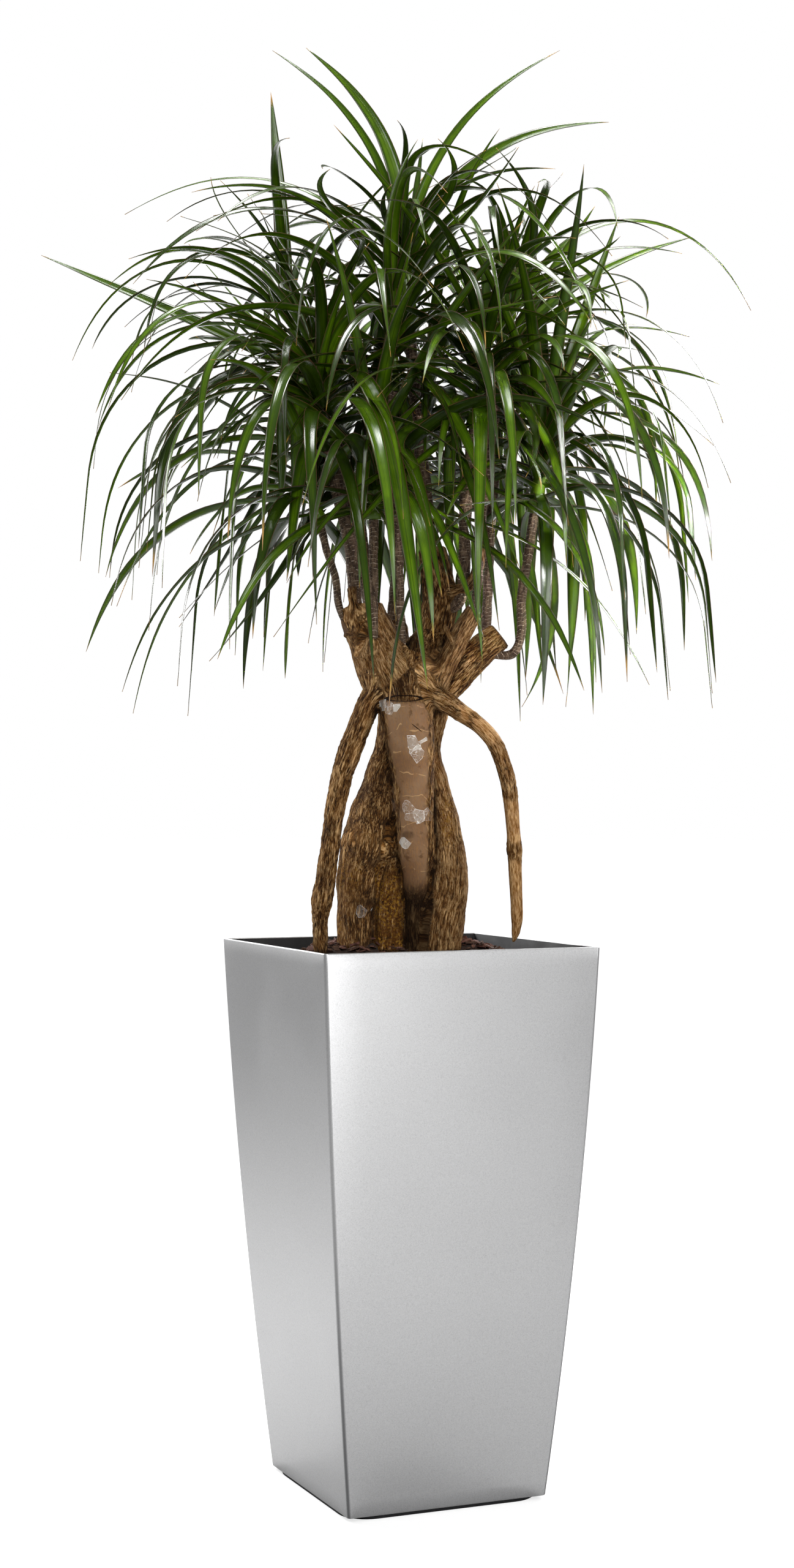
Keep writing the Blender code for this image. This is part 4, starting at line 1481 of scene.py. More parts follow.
# Small growths on the limbs: a dead stub, a knob, a collar round a cane's foot, a hooked branch, a
# web between the trunks and a torn strip of bark
TWIGS = {
    "dead_stub": wood((-70, 24, 1200, 7), (-73, 27, 1228, 6.2), (-75, 28, 1251.5, 6.6), rough=0.7, pale=0.3,
        sawn=True, scale=0.6),
    "knob": wood((-70, 14, 1182, 8), (-86, 18, 1187, 5), sawn=True, scale=0.6),
    "collar": wood((-44, 36, 1152, 12), (-45, 48, 1178, 10.5), rough=0.8, pale=0.6),
    "hook": wood((52, -8, 1246, 10.5), (72, 4, 1247, 9), (92, 14, 1258, 8.5), (101, 21, 1284, 8),
        (103.5, 19, 1312, 7.2), rough=0.5, pale=0.7, scale=0.6),
    "web": wood((-12, 4, 800, 12), (-7, 4, 870, 15), (-4, 4, 935, 12)),
    "torn_strip": wood((55, 34, 1196, 2.2), (58, 40, 1186, 3.4), (64, 43, 1172, 2.6), rough=0.3, smooth=0.5,
        pale=1.0, scale=0.6),
}
WOOD = (*LIMBS.values(), *TWIGS.values())


@dataclass
class Trunk:
    """The trunks, roots and stumps that have grown into one woody body."""

    step: float = 0.004
    sides: int = 40
    voxel: float = 0.0024
    relief: float = 0.0022
    smooth_relief: float = 0.18
    fold_depth: float = 0.0016
    saw_depth: float = 0.0022
    crevice: float = 0.019
    soft_rounds: int = 3
    moss_span: tuple[float, float] = (0.890, 0.820)
    # Painted shade over the front trunk's foot, and a painted contact shadow where the trunks meet the soil
    shade: float = 0.95
    shade_span: tuple[float, float] = (0.862, 0.812)
    soil_contact_shadow: float = 0.92
    soil_contact_shadow_span: tuple[float, float] = (0.7495, 0.7450)
    bare_edge: float = 0.003
    bare_wander: float = 0.006
    bare_smooth: float = 0.78
    strip_turn: tuple[float, float] = (0.94, 1.06)
    strip_middle: tuple[float, float] = (0.011, 0.002)
    strip_inner: tuple[float, float] = (0.016, 0.026)
    strip_outer: tuple[float, float] = (0.021, 0.032)
    strip_wander: float = 0.004
    strip_front: tuple[float, float] = (0.03, 0.045)
    strip_foot: tuple[float, float] = (0.80, 0.85)
    strip_top: tuple[float, float] = (1.094, 1.084)

    def build(self, finish: Material) -> None:
        """Makes the woody body with its bark.

        Args:
            finish: its material.
        """
        body = self.join_limbs()
        mesh = body.data
        normals = np.empty(len(mesh.vertices) * 3, dtype=np.float32)
        mesh.vertices.foreach_get("normal", normals)
        places = np.empty(len(mesh.vertices) * 3, dtype=np.float32)
        mesh.vertices.foreach_get("co", places)
        places, normals = places.reshape(-1, 3), normals.reshape(-1, 3)
        self.grow_bark(mesh, places, normals)
        mesh.materials.clear()
        mesh.shade_smooth()
        bpy.data.objects.remove(body)
        add_piece("woody_body", mesh, Slot.BARK, "trunk", finish)

    def join_limbs(self) -> bpy.types.Object:
        """Grows the limbs into one body.

        Returns:
            The body as a free object.
        """
        points, faces = [], []
        for limb in WOOD:
            line, radii = smooth_route(limb.places(), limb.radii(), self.step)
            faces += tube_faces(len(line), self.sides, len(points))
            for ring in rings_along(line, radii, self.sides):
                points += ring
        body = bpy.data.objects.new("joined", make_mesh("woody_body", points, faces))
        bpy.context.scene.collection.objects.link(body)
        remesh = body.modifiers.new("grow_together", "REMESH")
        remesh.mode = "VOXEL"
        remesh.voxel_size = self.voxel
        remesh.adaptivity = 0.0
        soften = body.modifiers.new("soften", "SMOOTH")
        soften.iterations = self.soft_rounds
        graph = bpy.context.evaluated_depsgraph_get()
        body.data = bpy.data.meshes.new_from_object(body.evaluated_get(graph))
        body.modifiers.clear()
        return body

    def samples(self) -> tuple[KDTree, list[tuple]]:
        """Points along every limb's middle, to tell which limb a place belongs to.

        Returns:
            A search tree, and each point's limb, place, directions, radius, way along and whole length.
        """
        rows = []
        for limb in WOOD:
            line, radii = smooth_route(limb.places(), limb.radii(), self.step)
            ways = [0.0]
            for before, after in zip(line, line[1:]):
                ways.append(ways[-1] + (after - before).length)
            for place, radius, directions, way in zip(line, radii, carried_frames(line), ways):
                rows.append((limb, place, *directions, radius, way, ways[-1]))
        tree = KDTree(len(rows))
        for i, row in enumerate(rows):
            tree.insert(row[1], i)
        tree.balance()
        return tree, rows

    def grow_bark(self, mesh: Mesh, places: np.ndarray, normals: np.ndarray) -> None:
        """Raises the bark's ridges and flakes, and stores what its material reads.

        Args:
            mesh: the woody body.
            places: its corners.
            normals: the outward direction at each.
        """
        tree, rows = self.samples()
        count = len(places)
        drawn = np.zeros((count, 3), dtype=np.float32)
        keep = {name: np.zeros(count, dtype=np.float32)
                for name in ("relief", "smooth", "pale", "moss", "sawn", "hollow")}
        body = BVHTree.FromPolygons(places.tolist(), [tuple(face.vertices) for face in mesh.polygons])
        moved = places.copy()
        own = plant_places(places)
        for i in range(count):
            place = Vector(places[i])
            near = min(tree.find_n(place, 10), key=lambda found: found[2] - rows[found[1]][5])
            limb, middle, heading, spoke, other, radius, way, length = rows[near[1]]
            away = place - middle
            along = way + away.dot(heading)
            turn = math.atan2(away.dot(other), away.dot(spoke))
            drawn[i] = (math.cos(turn) * radius, math.sin(turn) * radius, along + 3.0 * WOOD.index(limb))
            across, towards, up = own[i]
            smooth = max(self.strip(limb, across, towards, up), self.bareness(limb, along, drawn[i]))
            sawn = 1.0 if limb.sawn and along > length - self.saw_depth else 0.0
            height = self.bark_height(drawn[i], limb, smooth)
            lift = height * self.relief * (1.0 - sawn) * limb.rough * mix(1.0, self.smooth_relief, smooth)
            moved[i] += normals[i] * (lift - self.fold_depth * self.fold(across, towards, up))
            keep["relief"][i] = height * mix(1.0, 0.3, smooth)
            keep["smooth"][i] = smooth
            keep["pale"][i] = limb.pale
            keep["moss"][i] = limb.moss * ease(*self.moss_span, up)
            keep["sawn"][i] = sawn
            # Painted shade over the front trunk's foot, a painted contact shadow by the soil and painted
            # shade in the crevices, all kept as hollow
            shade = self.shade * ease(*self.shade_span, up) if limb.smooth == 1.0 else 0.0
            soil_contact_shadow = self.soil_contact_shadow * ease(*self.soil_contact_shadow_span, up)
            keep["hollow"][i] = max(shade, soil_contact_shadow, self.hollow(body, place, Vector(normals[i])))
        mesh.vertices.foreach_set("co", moved.ravel())
        mesh.update()
        for name, values in {**keep, "drawn": drawn, "plain": own}.items():
            store(mesh, name, values)

    def hollow(self, body: BVHTree, place: Vector, normal: Vector) -> float:
        """How deep a place lies in a crevice between limbs, which sets the painted shade there.

        Args:
            body: a search tree over the woody body.
            place: the place.
            normal: the outward direction there.

        Returns:
            The share of the directions round it in which other wood is near.
        """
        spoke = normal.orthogonal().normalized()
        other = normal.cross(spoke)
        start = place + normal * 0.001
        met = 0.0
        for side in (spoke, -spoke, other, -other, Vector()):
            away = body.ray_cast(start, (normal + side * 1.1).normalized(), self.crevice)[3]
            if away is not None:
                met += 1.0 - 0.6 * away / self.crevice
        return ease(0.3, 2.6, met)

    def bareness(self, limb: Limb, along: float, drawn: np.ndarray) -> float:
        """How smooth the bark is where a root has lost its flakes.

        Args:
            limb: the limb.
            along: the way along it.
            drawn: the place wrapped round the limb.

        Returns:
            The smoothness, between 0 and 1.
        """
        way, edge = along + self.bare_wander * noise.noise(Vector(drawn) * 90.0), self.bare_edge
        bare = max((ease(start - edge, start + edge, way) * ease(end + edge, end - edge, way)
                    for start, end in limb.bare), default=0.0)
        return max(limb.smooth if limb.smooth < 1.0 else 0.0, self.bare_smooth * bare)

    def strip(self, limb: Limb, across: float, towards: float, up: float) -> float:
        """How smooth the front trunk is: wholly so in a strip down its front.

        Args:
            limb: the limb.
            across: the place to the plant's right.
            towards: the place to its front.
            up: its height.

        Returns:
            The smoothness, between 0 and 1.
        """
        if limb.smooth < 1.0:
            return 0.0
        share = ease(*self.strip_turn, up)
        wander = self.strip_wander * noise.noise(Vector((across * 30.0, 0.0, up * 70.0)))
        away = abs(across - mix(*self.strip_middle, share) + wander)
        strip = ease(mix(*self.strip_outer, share), mix(*self.strip_inner, share), away)
        strip = strip * ease(*self.strip_front, towards)
        return strip * ease(*self.strip_foot, up) * ease(*self.strip_top, up)

    @staticmethod
    def bark_height(drawn: np.ndarray, limb: Limb, smooth: float) -> float:
        """The height of the bark's relief between about -1 and 1.

        Args:
            drawn: the place wrapped round its limb, with the way along it last.
            limb: the limb.
            smooth: how smooth the bark is here.

        Returns:
            The height.
        """
        x, y, z = (float(value) / limb.scale for value in drawn)
        wander = noise.noise(Vector((x * 40.0, y * 40.0, z * 22.0))) * 0.005
        ridge = 1.0 - 3.2 * abs(noise.noise(Vector((x + wander, y - wander, z * 0.17)) * 190.0))
        flake = noise.noise(Vector((x, y, z * 0.30)) * 300.0)
        chip = noise.noise(Vector((x, y, z * 0.8)) * 170.0)
        lump = noise.noise(Vector((x, y, z * 0.6)) * 45.0)
        rough = 0.35 * ridge + 0.40 * flake + 0.35 * chip + 0.55 * lump
        return mix(rough, 0.7 * lump + 0.1 * chip, smooth)

    @staticmethod
    def fold(across: float, towards: float, up: float) -> float:
        """The lens-shaped fold where the front trunk's sawn top meets the crown.

        Args:
            across: the place to the plant's right.
            towards: the place to its front.
            up: its height.

        Returns:
            The fold, between 0 and 1.
        """
        patch = Bark.fold
        away = ((across - patch.across) / patch.width) ** 2 + ((up - patch.up) / patch.height) ** 2
        return ease(1.2, 0.5, away) * ease(0.02, 0.03, towards)


@dataclass(frozen=True)
class Stem:
    """A leafy stem: its cane's route of (across, towards, up), its radii, and its green tip."""

    route: tuple[Place, ...]
    radii: tuple[float, float]
    tip: float
    leaves: int
    reach: float

    def places(self) -> list[Vector]:
        """The cane's places in the planter's frame."""
        return [plant_point(*place) for place in self.route]

    def place_radii(self) -> list[float]:
        """The cane's radius at each place."""
        (foot, top), last = self.radii, len(self.route) - 1
        return [foot + (top - foot) * i / last for i in range(last + 1)]

    def tip_axis(self) -> tuple[Vector, Vector]:
        """Where the green tip starts, and its heading.

        Returns:
            The start and the direction.
        """
        below, end = self.places()[-2:]
        heading = (end - below).normalized()
        return end + heading * 0.0003, heading

    def core_radius(self, share: float) -> float:
        """The green tip's radius at a share of its length."""
        return (self.radii[1] + 0.0012) * (1.0 - 0.72 * share ** 1.6)


def cane(*route: Place, radii: tuple[float, float], tip: float, leaves: int, reach: float) -> Stem:
    """A stem with its route, radii, tip and reach in millimetres."""
    tip, reach = metres(tip, reach)
    return Stem(tuple(metres(*place) for place in route), metres(*radii), tip, leaves, reach)


STEMS = {
    "far_left": cane((-78, 14, 1192), (-93, 16, 1222), (-98, 16, 1262), (-110, 16, 1300), (-121, 16, 1345),
        radii=(5.5, 6), tip=75, leaves=19, reach=400),
    "left": cane((-68, 10, 1206), (-73, 12, 1262), (-79, 16, 1318), (-94, 22, 1380), (-105, 26, 1440),
        radii=(9.5, 10.5), tip=150, leaves=43, reach=560),
    "upper_left": cane((-50, -8, 1206), (-56, -16, 1280), (-70, -30, 1370), (-98, -40, 1460),
        (-124, -44, 1530), radii=(7.5, 8.5), tip=140, leaves=38, reach=540),
    "front": cane((-44, 40, 1160), (-45, 52, 1200), (-45, 56, 1260), (-45, 58, 1340), radii=(6.6, 7),
        tip=105, leaves=28, reach=460),
    "front_centre": cane((-8, 14, 1130), (-8, 22, 1200), (-12, 26, 1290), (-18, 32, 1400), (-20, 42, 1520),
        radii=(6.6, 8.5), tip=130, leaves=37, reach=520),
    "top": cane((36, -20, 1292), (30, -22, 1370), (16, -20, 1490), (6, -12, 1610), radii=(9.5, 9), tip=140,
        leaves=41, reach=480),
    "right_centre": cane((60, -4, 1222), (76, 4, 1236), (82, 8, 1290), (84, 12, 1380), (96, 20, 1470),
        radii=(8.5, 9.5), tip=130, leaves=42, reach=540),
    "upper_right": cane((92, 34, 1204), (100, 28, 1262), (106, 10, 1350), (116, -10, 1440),
        (132, -22, 1530), radii=(6.2, 8), tip=135, leaves=40, reach=540),
    "far_right": cane((124, -18, 1158), (150, -14, 1160), (162, -10, 1190), (162, -6, 1240), (172, 0, 1300),
        (180, 4, 1355), radii=(6.6, 7.5), tip=115, leaves=38, reach=540),
    "back": cane((-20, -70, 1190), (-14, -82, 1270), (4, -96, 1370), (18, -106, 1470), radii=(8.5, 9),
        tip=130, leaves=29, reach=540),
    "back_left": cane((-30, -60, 1176), (-52, -74, 1230), (-74, -90, 1320), (-92, -104, 1410), radii=(7, 8),
        tip=115, leaves=25, reach=520),
    "back_right": cane((100, -36, 1140), (112, -58, 1170), (118, -78, 1260), (122, -94, 1350),
        (128, -106, 1420), radii=(7, 8), tip=115, leaves=24, reach=520),
}


@dataclass
class Canes:
    """The bare, ringed canes that carry the leafy tips."""

    step: float = 0.0008
    sides: int = 20
    ring_pitch: float = 0.0056
    ring_depth: float = 0.00022
    ring_tilt: float = 0.30
    lump: float = 0.0011
    sunk: float = 0.0005
    green_stem: str = "left"
    green: float = 0.7
    green_span: tuple[float, float] = (1.400, 1.425)

    def build(self, finish: Material) -> None:
        """Makes every cane.

        Args:
            finish: their material.
        """
        for number, (name, stem) in enumerate(STEMS.items()):
            mesh = self.cane_mesh(name, stem, number)
            add_piece("ringed_cane_" + name, mesh, Slot.CANE, "cane_" + name, finish)

    def cane_mesh(self, name: str, stem: Stem, number: int) -> Mesh:
        """One cane with the rings that old leaves left.

        Args:
            name: the stem's name.
            stem: the stem.
            number: its number in the list.

        Returns:
            Its mesh.
        """
        line, radii = smooth_route(stem.places(), stem.place_radii(), self.step)
        points, relief, drawn, fresh = [], [], [], []
        green = self.green if name == self.green_stem else 0.0
        way = 0.0
        for i, (place, radius, (_, spoke, other)) in enumerate(zip(line, radii, carried_frames(line))):
            way += (place - line[max(i - 1, 0)]).length
            for side in range(self.sides):
                angle = math.tau * side / self.sides
                x, y = math.cos(angle) * radius, math.sin(angle) * radius
                wander = 0.8 * noise.noise(Vector((x, y, way * 0.5 + number)) * 110.0)
                wander += 1.6 * noise.noise(Vector((0.3, number, way)) * 24.0)
                phase = (way / self.ring_pitch + wander + self.ring_tilt * math.sin(angle + number)) % 1.0
                height = ring_height(phase)
                lump = noise.noise(Vector((x, y, way + 7.0 * number)) * 60.0)
                points.append(place + (spoke * math.cos(angle) + other * math.sin(angle))
                              * (radius + self.ring_depth * height + self.lump * lump - self.sunk))
                relief.append(height)
                drawn.append((x, y, way + 5.0 * number))
                fresh.append(green * ease(*self.green_span, place.z))
        mesh = make_mesh("ringed_cane_" + name, points, tube_faces(len(line), self.sides))
        store(mesh, "relief", relief)
        store(mesh, "fresh", fresh)
        store(mesh, "drawn", drawn)
        return mesh


def ring_height(phase: float) -> float:
    """The height of a leaf scar's ring: a sharp lip, then a shallow hollow.

    Args:
        phase: the place between one ring and the next, from 0 to 1.

    Returns:
        The height, between about -1 and 1.
    """
    lip = math.exp(-((phase - 0.20) / 0.12) ** 2)
    hollow = math.exp(-((phase - 0.42) / 0.12) ** 2)
    return lip - 0.7 * hollow


@dataclass(frozen=True)
class LeafPlan:
    """A leaf given by its stem, place, heading, lean, bend, size, roll and how soon it bends."""

    stem: str
    place: float
    turn: float
    tilt: float
    bend: float
    length: float
    width: float
    roll: float = 0.0
    quick: float = 0.0


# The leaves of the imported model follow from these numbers, the tables and the seed
GOLDEN_ANGLE = math.radians(137.508)
LEAF_WIDTH = 0.0160
LEAF_STEPS = 50
ARCHED_STATIONS = (3, 13, 25, 38)
UPRIGHT_STATIONS = (3, 18, 36)
LEAF_RISE = 0.20
LEAF_KEEL = 0.0012
LEAF_CLEAR = 0.0004
WOOD_CLEAR = 0.0015
LEAF_TRIES = 60
FILLER_TRIES = 24
SPARE_TOUCHES = 2
ROOT_SHARE = 0.12
TIP_SPAN = (0.08, 0.95)
SEED = 47
DOME_CENTRE = Vector((-0.010, 0.0, 1.490))
DOME_REACH = 0.465
DOME_RISE = 0.410
DOME_FOOT = 1.075
FILLER_TOP = 1.62
CORE_SIDES = 6

# Single leaves that stand out of the crown: their stem, place on its tip, heading round the plant
# (0 to its right, 90 to its back), lean from upright at the root, bend to the tip, length, width
# and, for some, the roll that turns their face to the front. Angles are in degrees.
SINGLE_LEAVES = tuple(LeafPlan(*row) for row in (
    ("top", 0.90, 182, 2, 50, 0.318, 0.020, -70), ("top", 0.80, 172, 10, 46, 0.360, 0.013, -55),
    ("top", 0.75, 4, 12, 50, 0.385, 0.013, 60), ("top", 0.60, -6, 20, 70, 0.380, 0.018, 65),
    ("top", 0.97, 40, 1, 5, 0.215, 0.016, 75), ("top", 0.35, 178, 28, 92, 0.480, 0.011, -30),
    ("upper_left", 0.97, 182, 3, 2, 0.305, 0.020, -80),
    ("upper_left", 0.20, 184, 65, 3, 0.415, 0.018, -65),
    ("upper_right", 0.55, 6, 46, 28, 0.310, 0.015, 60),
    ("upper_right", 0.70, 2, 20, 134, 0.470, 0.011, 40),
    ("upper_right", 0.45, -10, 30, 4, 0.235, 0.017, 70), ("far_right", 0.97, 0, 17, 3, 0.320, 0.018, 70),
    ("left", 0.30, -76, 82, 92, 0.58, 0.020), ("left", 0.25, 248, 74, 98, 0.43, 0.019),
    ("right_centre", 0.35, -84, 76, 96, 0.46, 0.017),
    ("front_centre", 0.75, -52, 60, 80, 0.46, 0.017, 25),
))

# Broad leaves that hang in front, only in the dressed model. The last number is how soon they bend.
FRONT_LEAVES = tuple(LeafPlan(*row, quick=quick) for *row, quick in (
    ("left", 0.45, -68, 42, 120, 0.63, 0.025, 1.0), ("front", 0.75, -60, 40, 118, 0.33, 0.020, 1.0),
    ("front", 0.35, -45, 62, 92, 0.33, 0.019, 1.0), ("front_centre", 0.10, -58, 80, 66, 0.44, 0.020, 1.0),
    ("right_centre", 0.60, -82, 52, 116, 0.35, 0.025, 1.0),
    ("front", 0.95, -100, 60, 114, 0.26, 0.017, 1.0), ("left", 0.05, -112, 60, 105, 0.28, 0.020, 1.0),
    ("upper_left", 0.30, -124, 45, 122, 0.30, 0.024, 1.0),
    ("upper_left", 0.05, -116, 50, 115, 0.28, 0.023, 1.0),
    ("upper_right", 0.35, -74, 50, 108, 0.33, 0.021, 1.0), ("top", 0.90, -52, 66, 74, 0.33, 0.022, 0.6),
    ("top", 0.80, -46, 34, 126, 0.46, 0.020, 0.6), ("top", 0.50, -76, 74, 66, 0.32, 0.021, 0.8),
    ("front_centre", 0.90, -104, 40, 130, 0.30, 0.022, 1.0),
))

# Hanging leaves that turn their face to the front, by their stem and number, and their twist
TWISTED_LEAVES = {("far_right", 31): math.radians(80.0), ("right_centre", 26): math.radians(50.0)}


@dataclass(frozen=True)
class Leaf:
    """One leaf: where it starts, how it sets off and bends, its size, and how it is turned."""

    root: Vector
    azimuth: float
    tilt: float
    bend: float
    length: float
    sweep: float
    width: float
    roll: float
    twist: float
    stations: tuple[int, ...] = ARCHED_STATIONS
    single: bool = False
    quick: float = 0.0

    def path(self) -> list[tuple[Vector, float, float]]:
        """The places, headings and leans along the leaf as it arches over under its own weight.

        Returns:
            A place, a heading and a lean at each step.
        """
        place = self.root.copy()
        step = self.length / LEAF_STEPS
        path = []
        for i in range(LEAF_STEPS + 1):
            share = i / LEAF_STEPS
            bent = 0.35 * share + 0.65 * share * share * (3.0 - 2.0 * share)
            bent = mix(bent, 1.0 - (1.0 - share) ** 4, self.quick)
            heading = self.azimuth + self.sweep * share * share
            lean = min(self.tilt + self.bend * bent, math.radians(174.0))
            path.append((place.copy(), heading, lean))
            flat = math.sin(lean)
            way = Vector((math.cos(heading) * flat, math.sin(heading) * flat, math.cos(lean)))
            place = place + way * step
        return path

    def section(self, heading: float, lean: float, share: float) -> tuple[Vector, Vector]:
        """The blade's side and face directions at a share of its length.

        Args:
            heading: which way it goes.
            lean: how far it leans from upright.
            share: the share of its length.

        Returns:
            The direction to its side and the direction its upper face looks.
        """
        flat = math.sin(lean)
        along = Vector((math.cos(heading) * flat, math.sin(heading) * flat, math.cos(lean)))
        level = Vector((-math.sin(heading), math.cos(heading), 0.0))
        side = Matrix.Rotation(self.roll + self.twist * share, 3, along) @ level
        return side, along.cross(side)

    def plain_points(self, grow: float = 0.0) -> list[Vector]:
        """The corners of the plain three-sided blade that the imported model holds.

        Args:
            grow: how much larger than the blade they are.

        Returns:
            Its root, two edges and a keel at each station, and its tip.
        """
        path = self.path()
        points = [path[0][0]]
        for station in self.stations:
            place, heading, lean = path[station]
            share = station / LEAF_STEPS
            side, face = self.section(heading, lean, share)
            half = 0.5 * self.width * leaf_width(share) + grow
            rise = face * (LEAF_RISE * half + grow)
            keel = face * (LEAF_KEEL + grow)
            points += [place + side * half + rise, place - side * half + rise, place - keel]
        points.append(path[LEAF_STEPS][0])
        return points


def leaf_width(share: float) -> float:
    """The blade's width at a share of its length, as a part of its widest."""
    if share < 0.2:
        return 0.72 + 0.28 * share / 0.2
    return (1.0 - ((share - 0.2) / 0.8) ** 1.7) ** 0.9


def plain_faces(rings: int) -> Faces:
    """The triangles of a plain blade.

    Args:
        rings: how many rings it has between its root and its tip.

    Returns:
        Its faces.
    """
    faces = [(0, 1 + (i + 1) % 3, 1 + i) for i in range(3)]
    for ring in range(rings - 1):
        low, high = 3 * ring + 1, 3 * ring + 4
        for i in range(3):
            j = (i + 1) % 3
            faces += [(low + i, low + j, high + j), (low + i, high + j, high + i)]
    top, tip = 3 * rings - 2, 3 * rings + 1
    faces += [(top + i, top + (i + 1) % 3, tip) for i in range(3)]
    return faces


PLAIN_FACES = {3 * len(rings) + 2: plain_faces(len(rings)) for rings in (ARCHED_STATIONS, UPRIGHT_STATIONS)}


def blade_trees(points: list[Vector]) -> tuple[BVHTree, BVHTree]:
    """Search trees over a whole blade, and over the blade without its root."""
    faces = PLAIN_FACES[len(points)]
    return BVHTree.FromPolygons(points, faces), BVHTree.FromPolygons(points, faces[3:])


def wood_tree(rings: list[list[Vector]]) -> BVHTree:
    """A search tree over a limb, cane or tip that the leaves keep clear of, a little larger than it.

    Args:
        rings: its rings.

    Returns:
        The tree.
    """
    *quads, foot, top = tube_faces(len(rings), len(rings[0]))
    triangles = [part for a, b, c, d in quads for part in ((a, b, c), (a, c, d))]
    points = [point for ring in rings for point in ring]
    mesh = make_mesh("kept_clear", points, [*triangles, foot, top], smooth=False)
    points = [vertex.co + vertex.normal * WOOD_CLEAR for vertex in mesh.vertices]
    tree = BVHTree.FromPolygons(points, [tuple(face.vertices) for face in mesh.polygons])
    bpy.data.meshes.remove(mesh)
    return tree


LIMB_SIDES = {
    "front_trunk": 9, "left_trunk": 9, "right_trunk": 9, "root_stub": 7, "left_root": 6, "right_root": 6,
    "crown": 9, "left_stump": 9, "centre_stump": 8, "pale_stump": 6, "right_stump": 8, "back_stump": 7,
}


def is_inside_dome(points: list[Vector]) -> bool:
    """Whether a blade stays inside the crown's dome."""
    for point in points:
        away = point - DOME_CENTRE
        reach = math.hypot(away.x, away.y) / DOME_REACH
        rise = max(away.z, 0.0) / DOME_RISE
        if reach ** 2 + rise ** 2 > 1.0 or point.z < DOME_FOOT:
            return False
    return True


def sprout(stem: Stem, place: float, way: Vector, bend: float, **looks: object) -> Leaf:
    """A leaf fixed to a stem's tip, setting off in a direction.

    Args:
        stem: the stem.
        place: the share of the tip's length.
        way: the direction.
        bend: how far it bends over, in degrees.
        **looks: the leaf's other fields.

    Returns:
        The leaf.
    """
    start, heading = stem.tip_axis()
    outward = (way - heading * way.dot(heading)).normalized()
    root = start + heading * stem.tip * place + outward * stem.core_radius(place) * ROOT_SHARE
    tilt = math.acos(max(-1.0, min(1.0, way.z)))
    return Leaf(root, math.atan2(way.y, way.x), tilt, math.radians(bend), **looks)


def leaning(heading: Vector, turn: float, tilt: float) -> Vector:
    """The direction that leans away from a stem's heading.

    Args:
        heading: the heading.
        turn: which way round it leans.
        tilt: how far it leans.

    Returns:
        The direction.
    """
    outward = Vector((math.cos(turn), math.sin(turn), 0.0))
    outward = (outward - heading * outward.dot(heading)).normalized()
    return (heading * math.cos(tilt) + outward * math.sin(tilt)).normalized()


def common_leaf(stem: Stem, offset: float, order: int, draw: Draw, attempt: int) -> Leaf:
    """One of a stem's leaves, counted from its top. Later attempts stray further and are shorter.

    Args:
        stem: the stem.
        offset: where its spiral of leaves starts.
        order: the leaf's number from the top.
        draw: draws a number between two others.
        attempt: how many tries have failed.

    Returns:
        The leaf.
    """
    loosen = 1.0 + attempt / 6.0
    share = 1.0 - order / (stem.leaves - 1)
    turn = offset - GOLDEN_ANGLE * order + math.radians(draw(-6.0, 6.0)) * loosen
    rank = share ** 1.25
    tilt = max(102.0 - 94.0 * rank ** 0.75 + draw(-7.0, 7.0) * loosen, 4.0)
    bend = 54.0 + 42.0 * math.sin(math.pi * min(1.0, 1.3 * rank)) - 42.0 * rank ** 2
    bend += draw(-20.0, 20.0) * loosen
    length = stem.reach * (1.06 - 0.06 * rank - 0.22 * rank ** 3) * draw(0.84, 1.06)
    width = LEAF_WIDTH * (0.78 + 0.22 * math.sin(math.pi * min(1.0, rank + 0.2)))
    return sprout(
        stem, mix(*TIP_SPAN, rank), leaning(stem.tip_axis()[1], turn, math.radians(tilt)),
        max(bend, 4.0), length=length * max(0.55, 1.0 - 0.008 * attempt),
        sweep=math.radians(draw(-16.0, 16.0)) * loosen,
        width=width * draw(0.82, 1.16), roll=math.radians(draw(-12.0, 12.0)),
        twist=math.radians(draw(-45.0, 45.0)), stations=UPRIGHT_STATIONS if rank > 0.52 else ARCHED_STATIONS)


def single_leaf(plan: LeafPlan, draw: Draw, attempt: int) -> Leaf:
    """One of the listed leaves. Later attempts stray a little.

    Args:
        plan: the leaf's plan.
        draw: draws a number between two others.
        attempt: how many tries have failed.

    Returns:
        The leaf.
    """
    turn = math.radians(plan.turn + draw(-1.0, 1.0) * attempt)
    tilt = math.radians(plan.tilt + draw(-0.4, 0.4) * attempt)
    away = plant_point(math.cos(turn), -math.sin(turn), 0.0)
    way = away * math.sin(tilt) + Vector((0.0, 0.0, math.cos(tilt)))
    place = min(0.98, max(0.05, plan.place + draw(-0.01, 0.01) * attempt))
    return sprout(
        STEMS[plan.stem], place, way, plan.bend, length=plan.length, sweep=0.0, width=plan.width,
        roll=math.radians(plan.roll), twist=0.0, single=True, quick=plan.quick,
        stations=ARCHED_STATIONS if plan.bend > 20.0 else UPRIGHT_STATIONS)


def filler_leaf(stem: Stem, draw: Draw) -> Leaf:
    """A leaf that fills the gaps between a stem's own leaves.

    Args:
        stem: the stem.
        draw: draws a number between two others.

    Returns:
        The leaf.
    """
    rank = draw(0.0, 1.0) ** 0.7
    turn = draw(0.0, math.tau)
    tilt = max(4.0, 100.0 - 92.0 * rank ** 0.75 + draw(-14.0, 14.0))
    bend = 52.0 + 34.0 * math.sin(math.pi * min(1.0, 1.4 * rank)) - 48.0 * rank ** 2 + draw(-24.0, 24.0)
    return sprout(
        stem, mix(0.05, 0.97, rank), leaning(stem.tip_axis()[1], turn, math.radians(tilt)), max(2.0, bend),
        length=stem.reach * draw(0.26, 0.46), sweep=math.radians(draw(-22.0, 22.0)),
        width=LEAF_WIDTH * draw(0.70, 1.05), roll=math.radians(draw(-14.0, 14.0)),
        twist=math.radians(draw(-60.0, 60.0)))


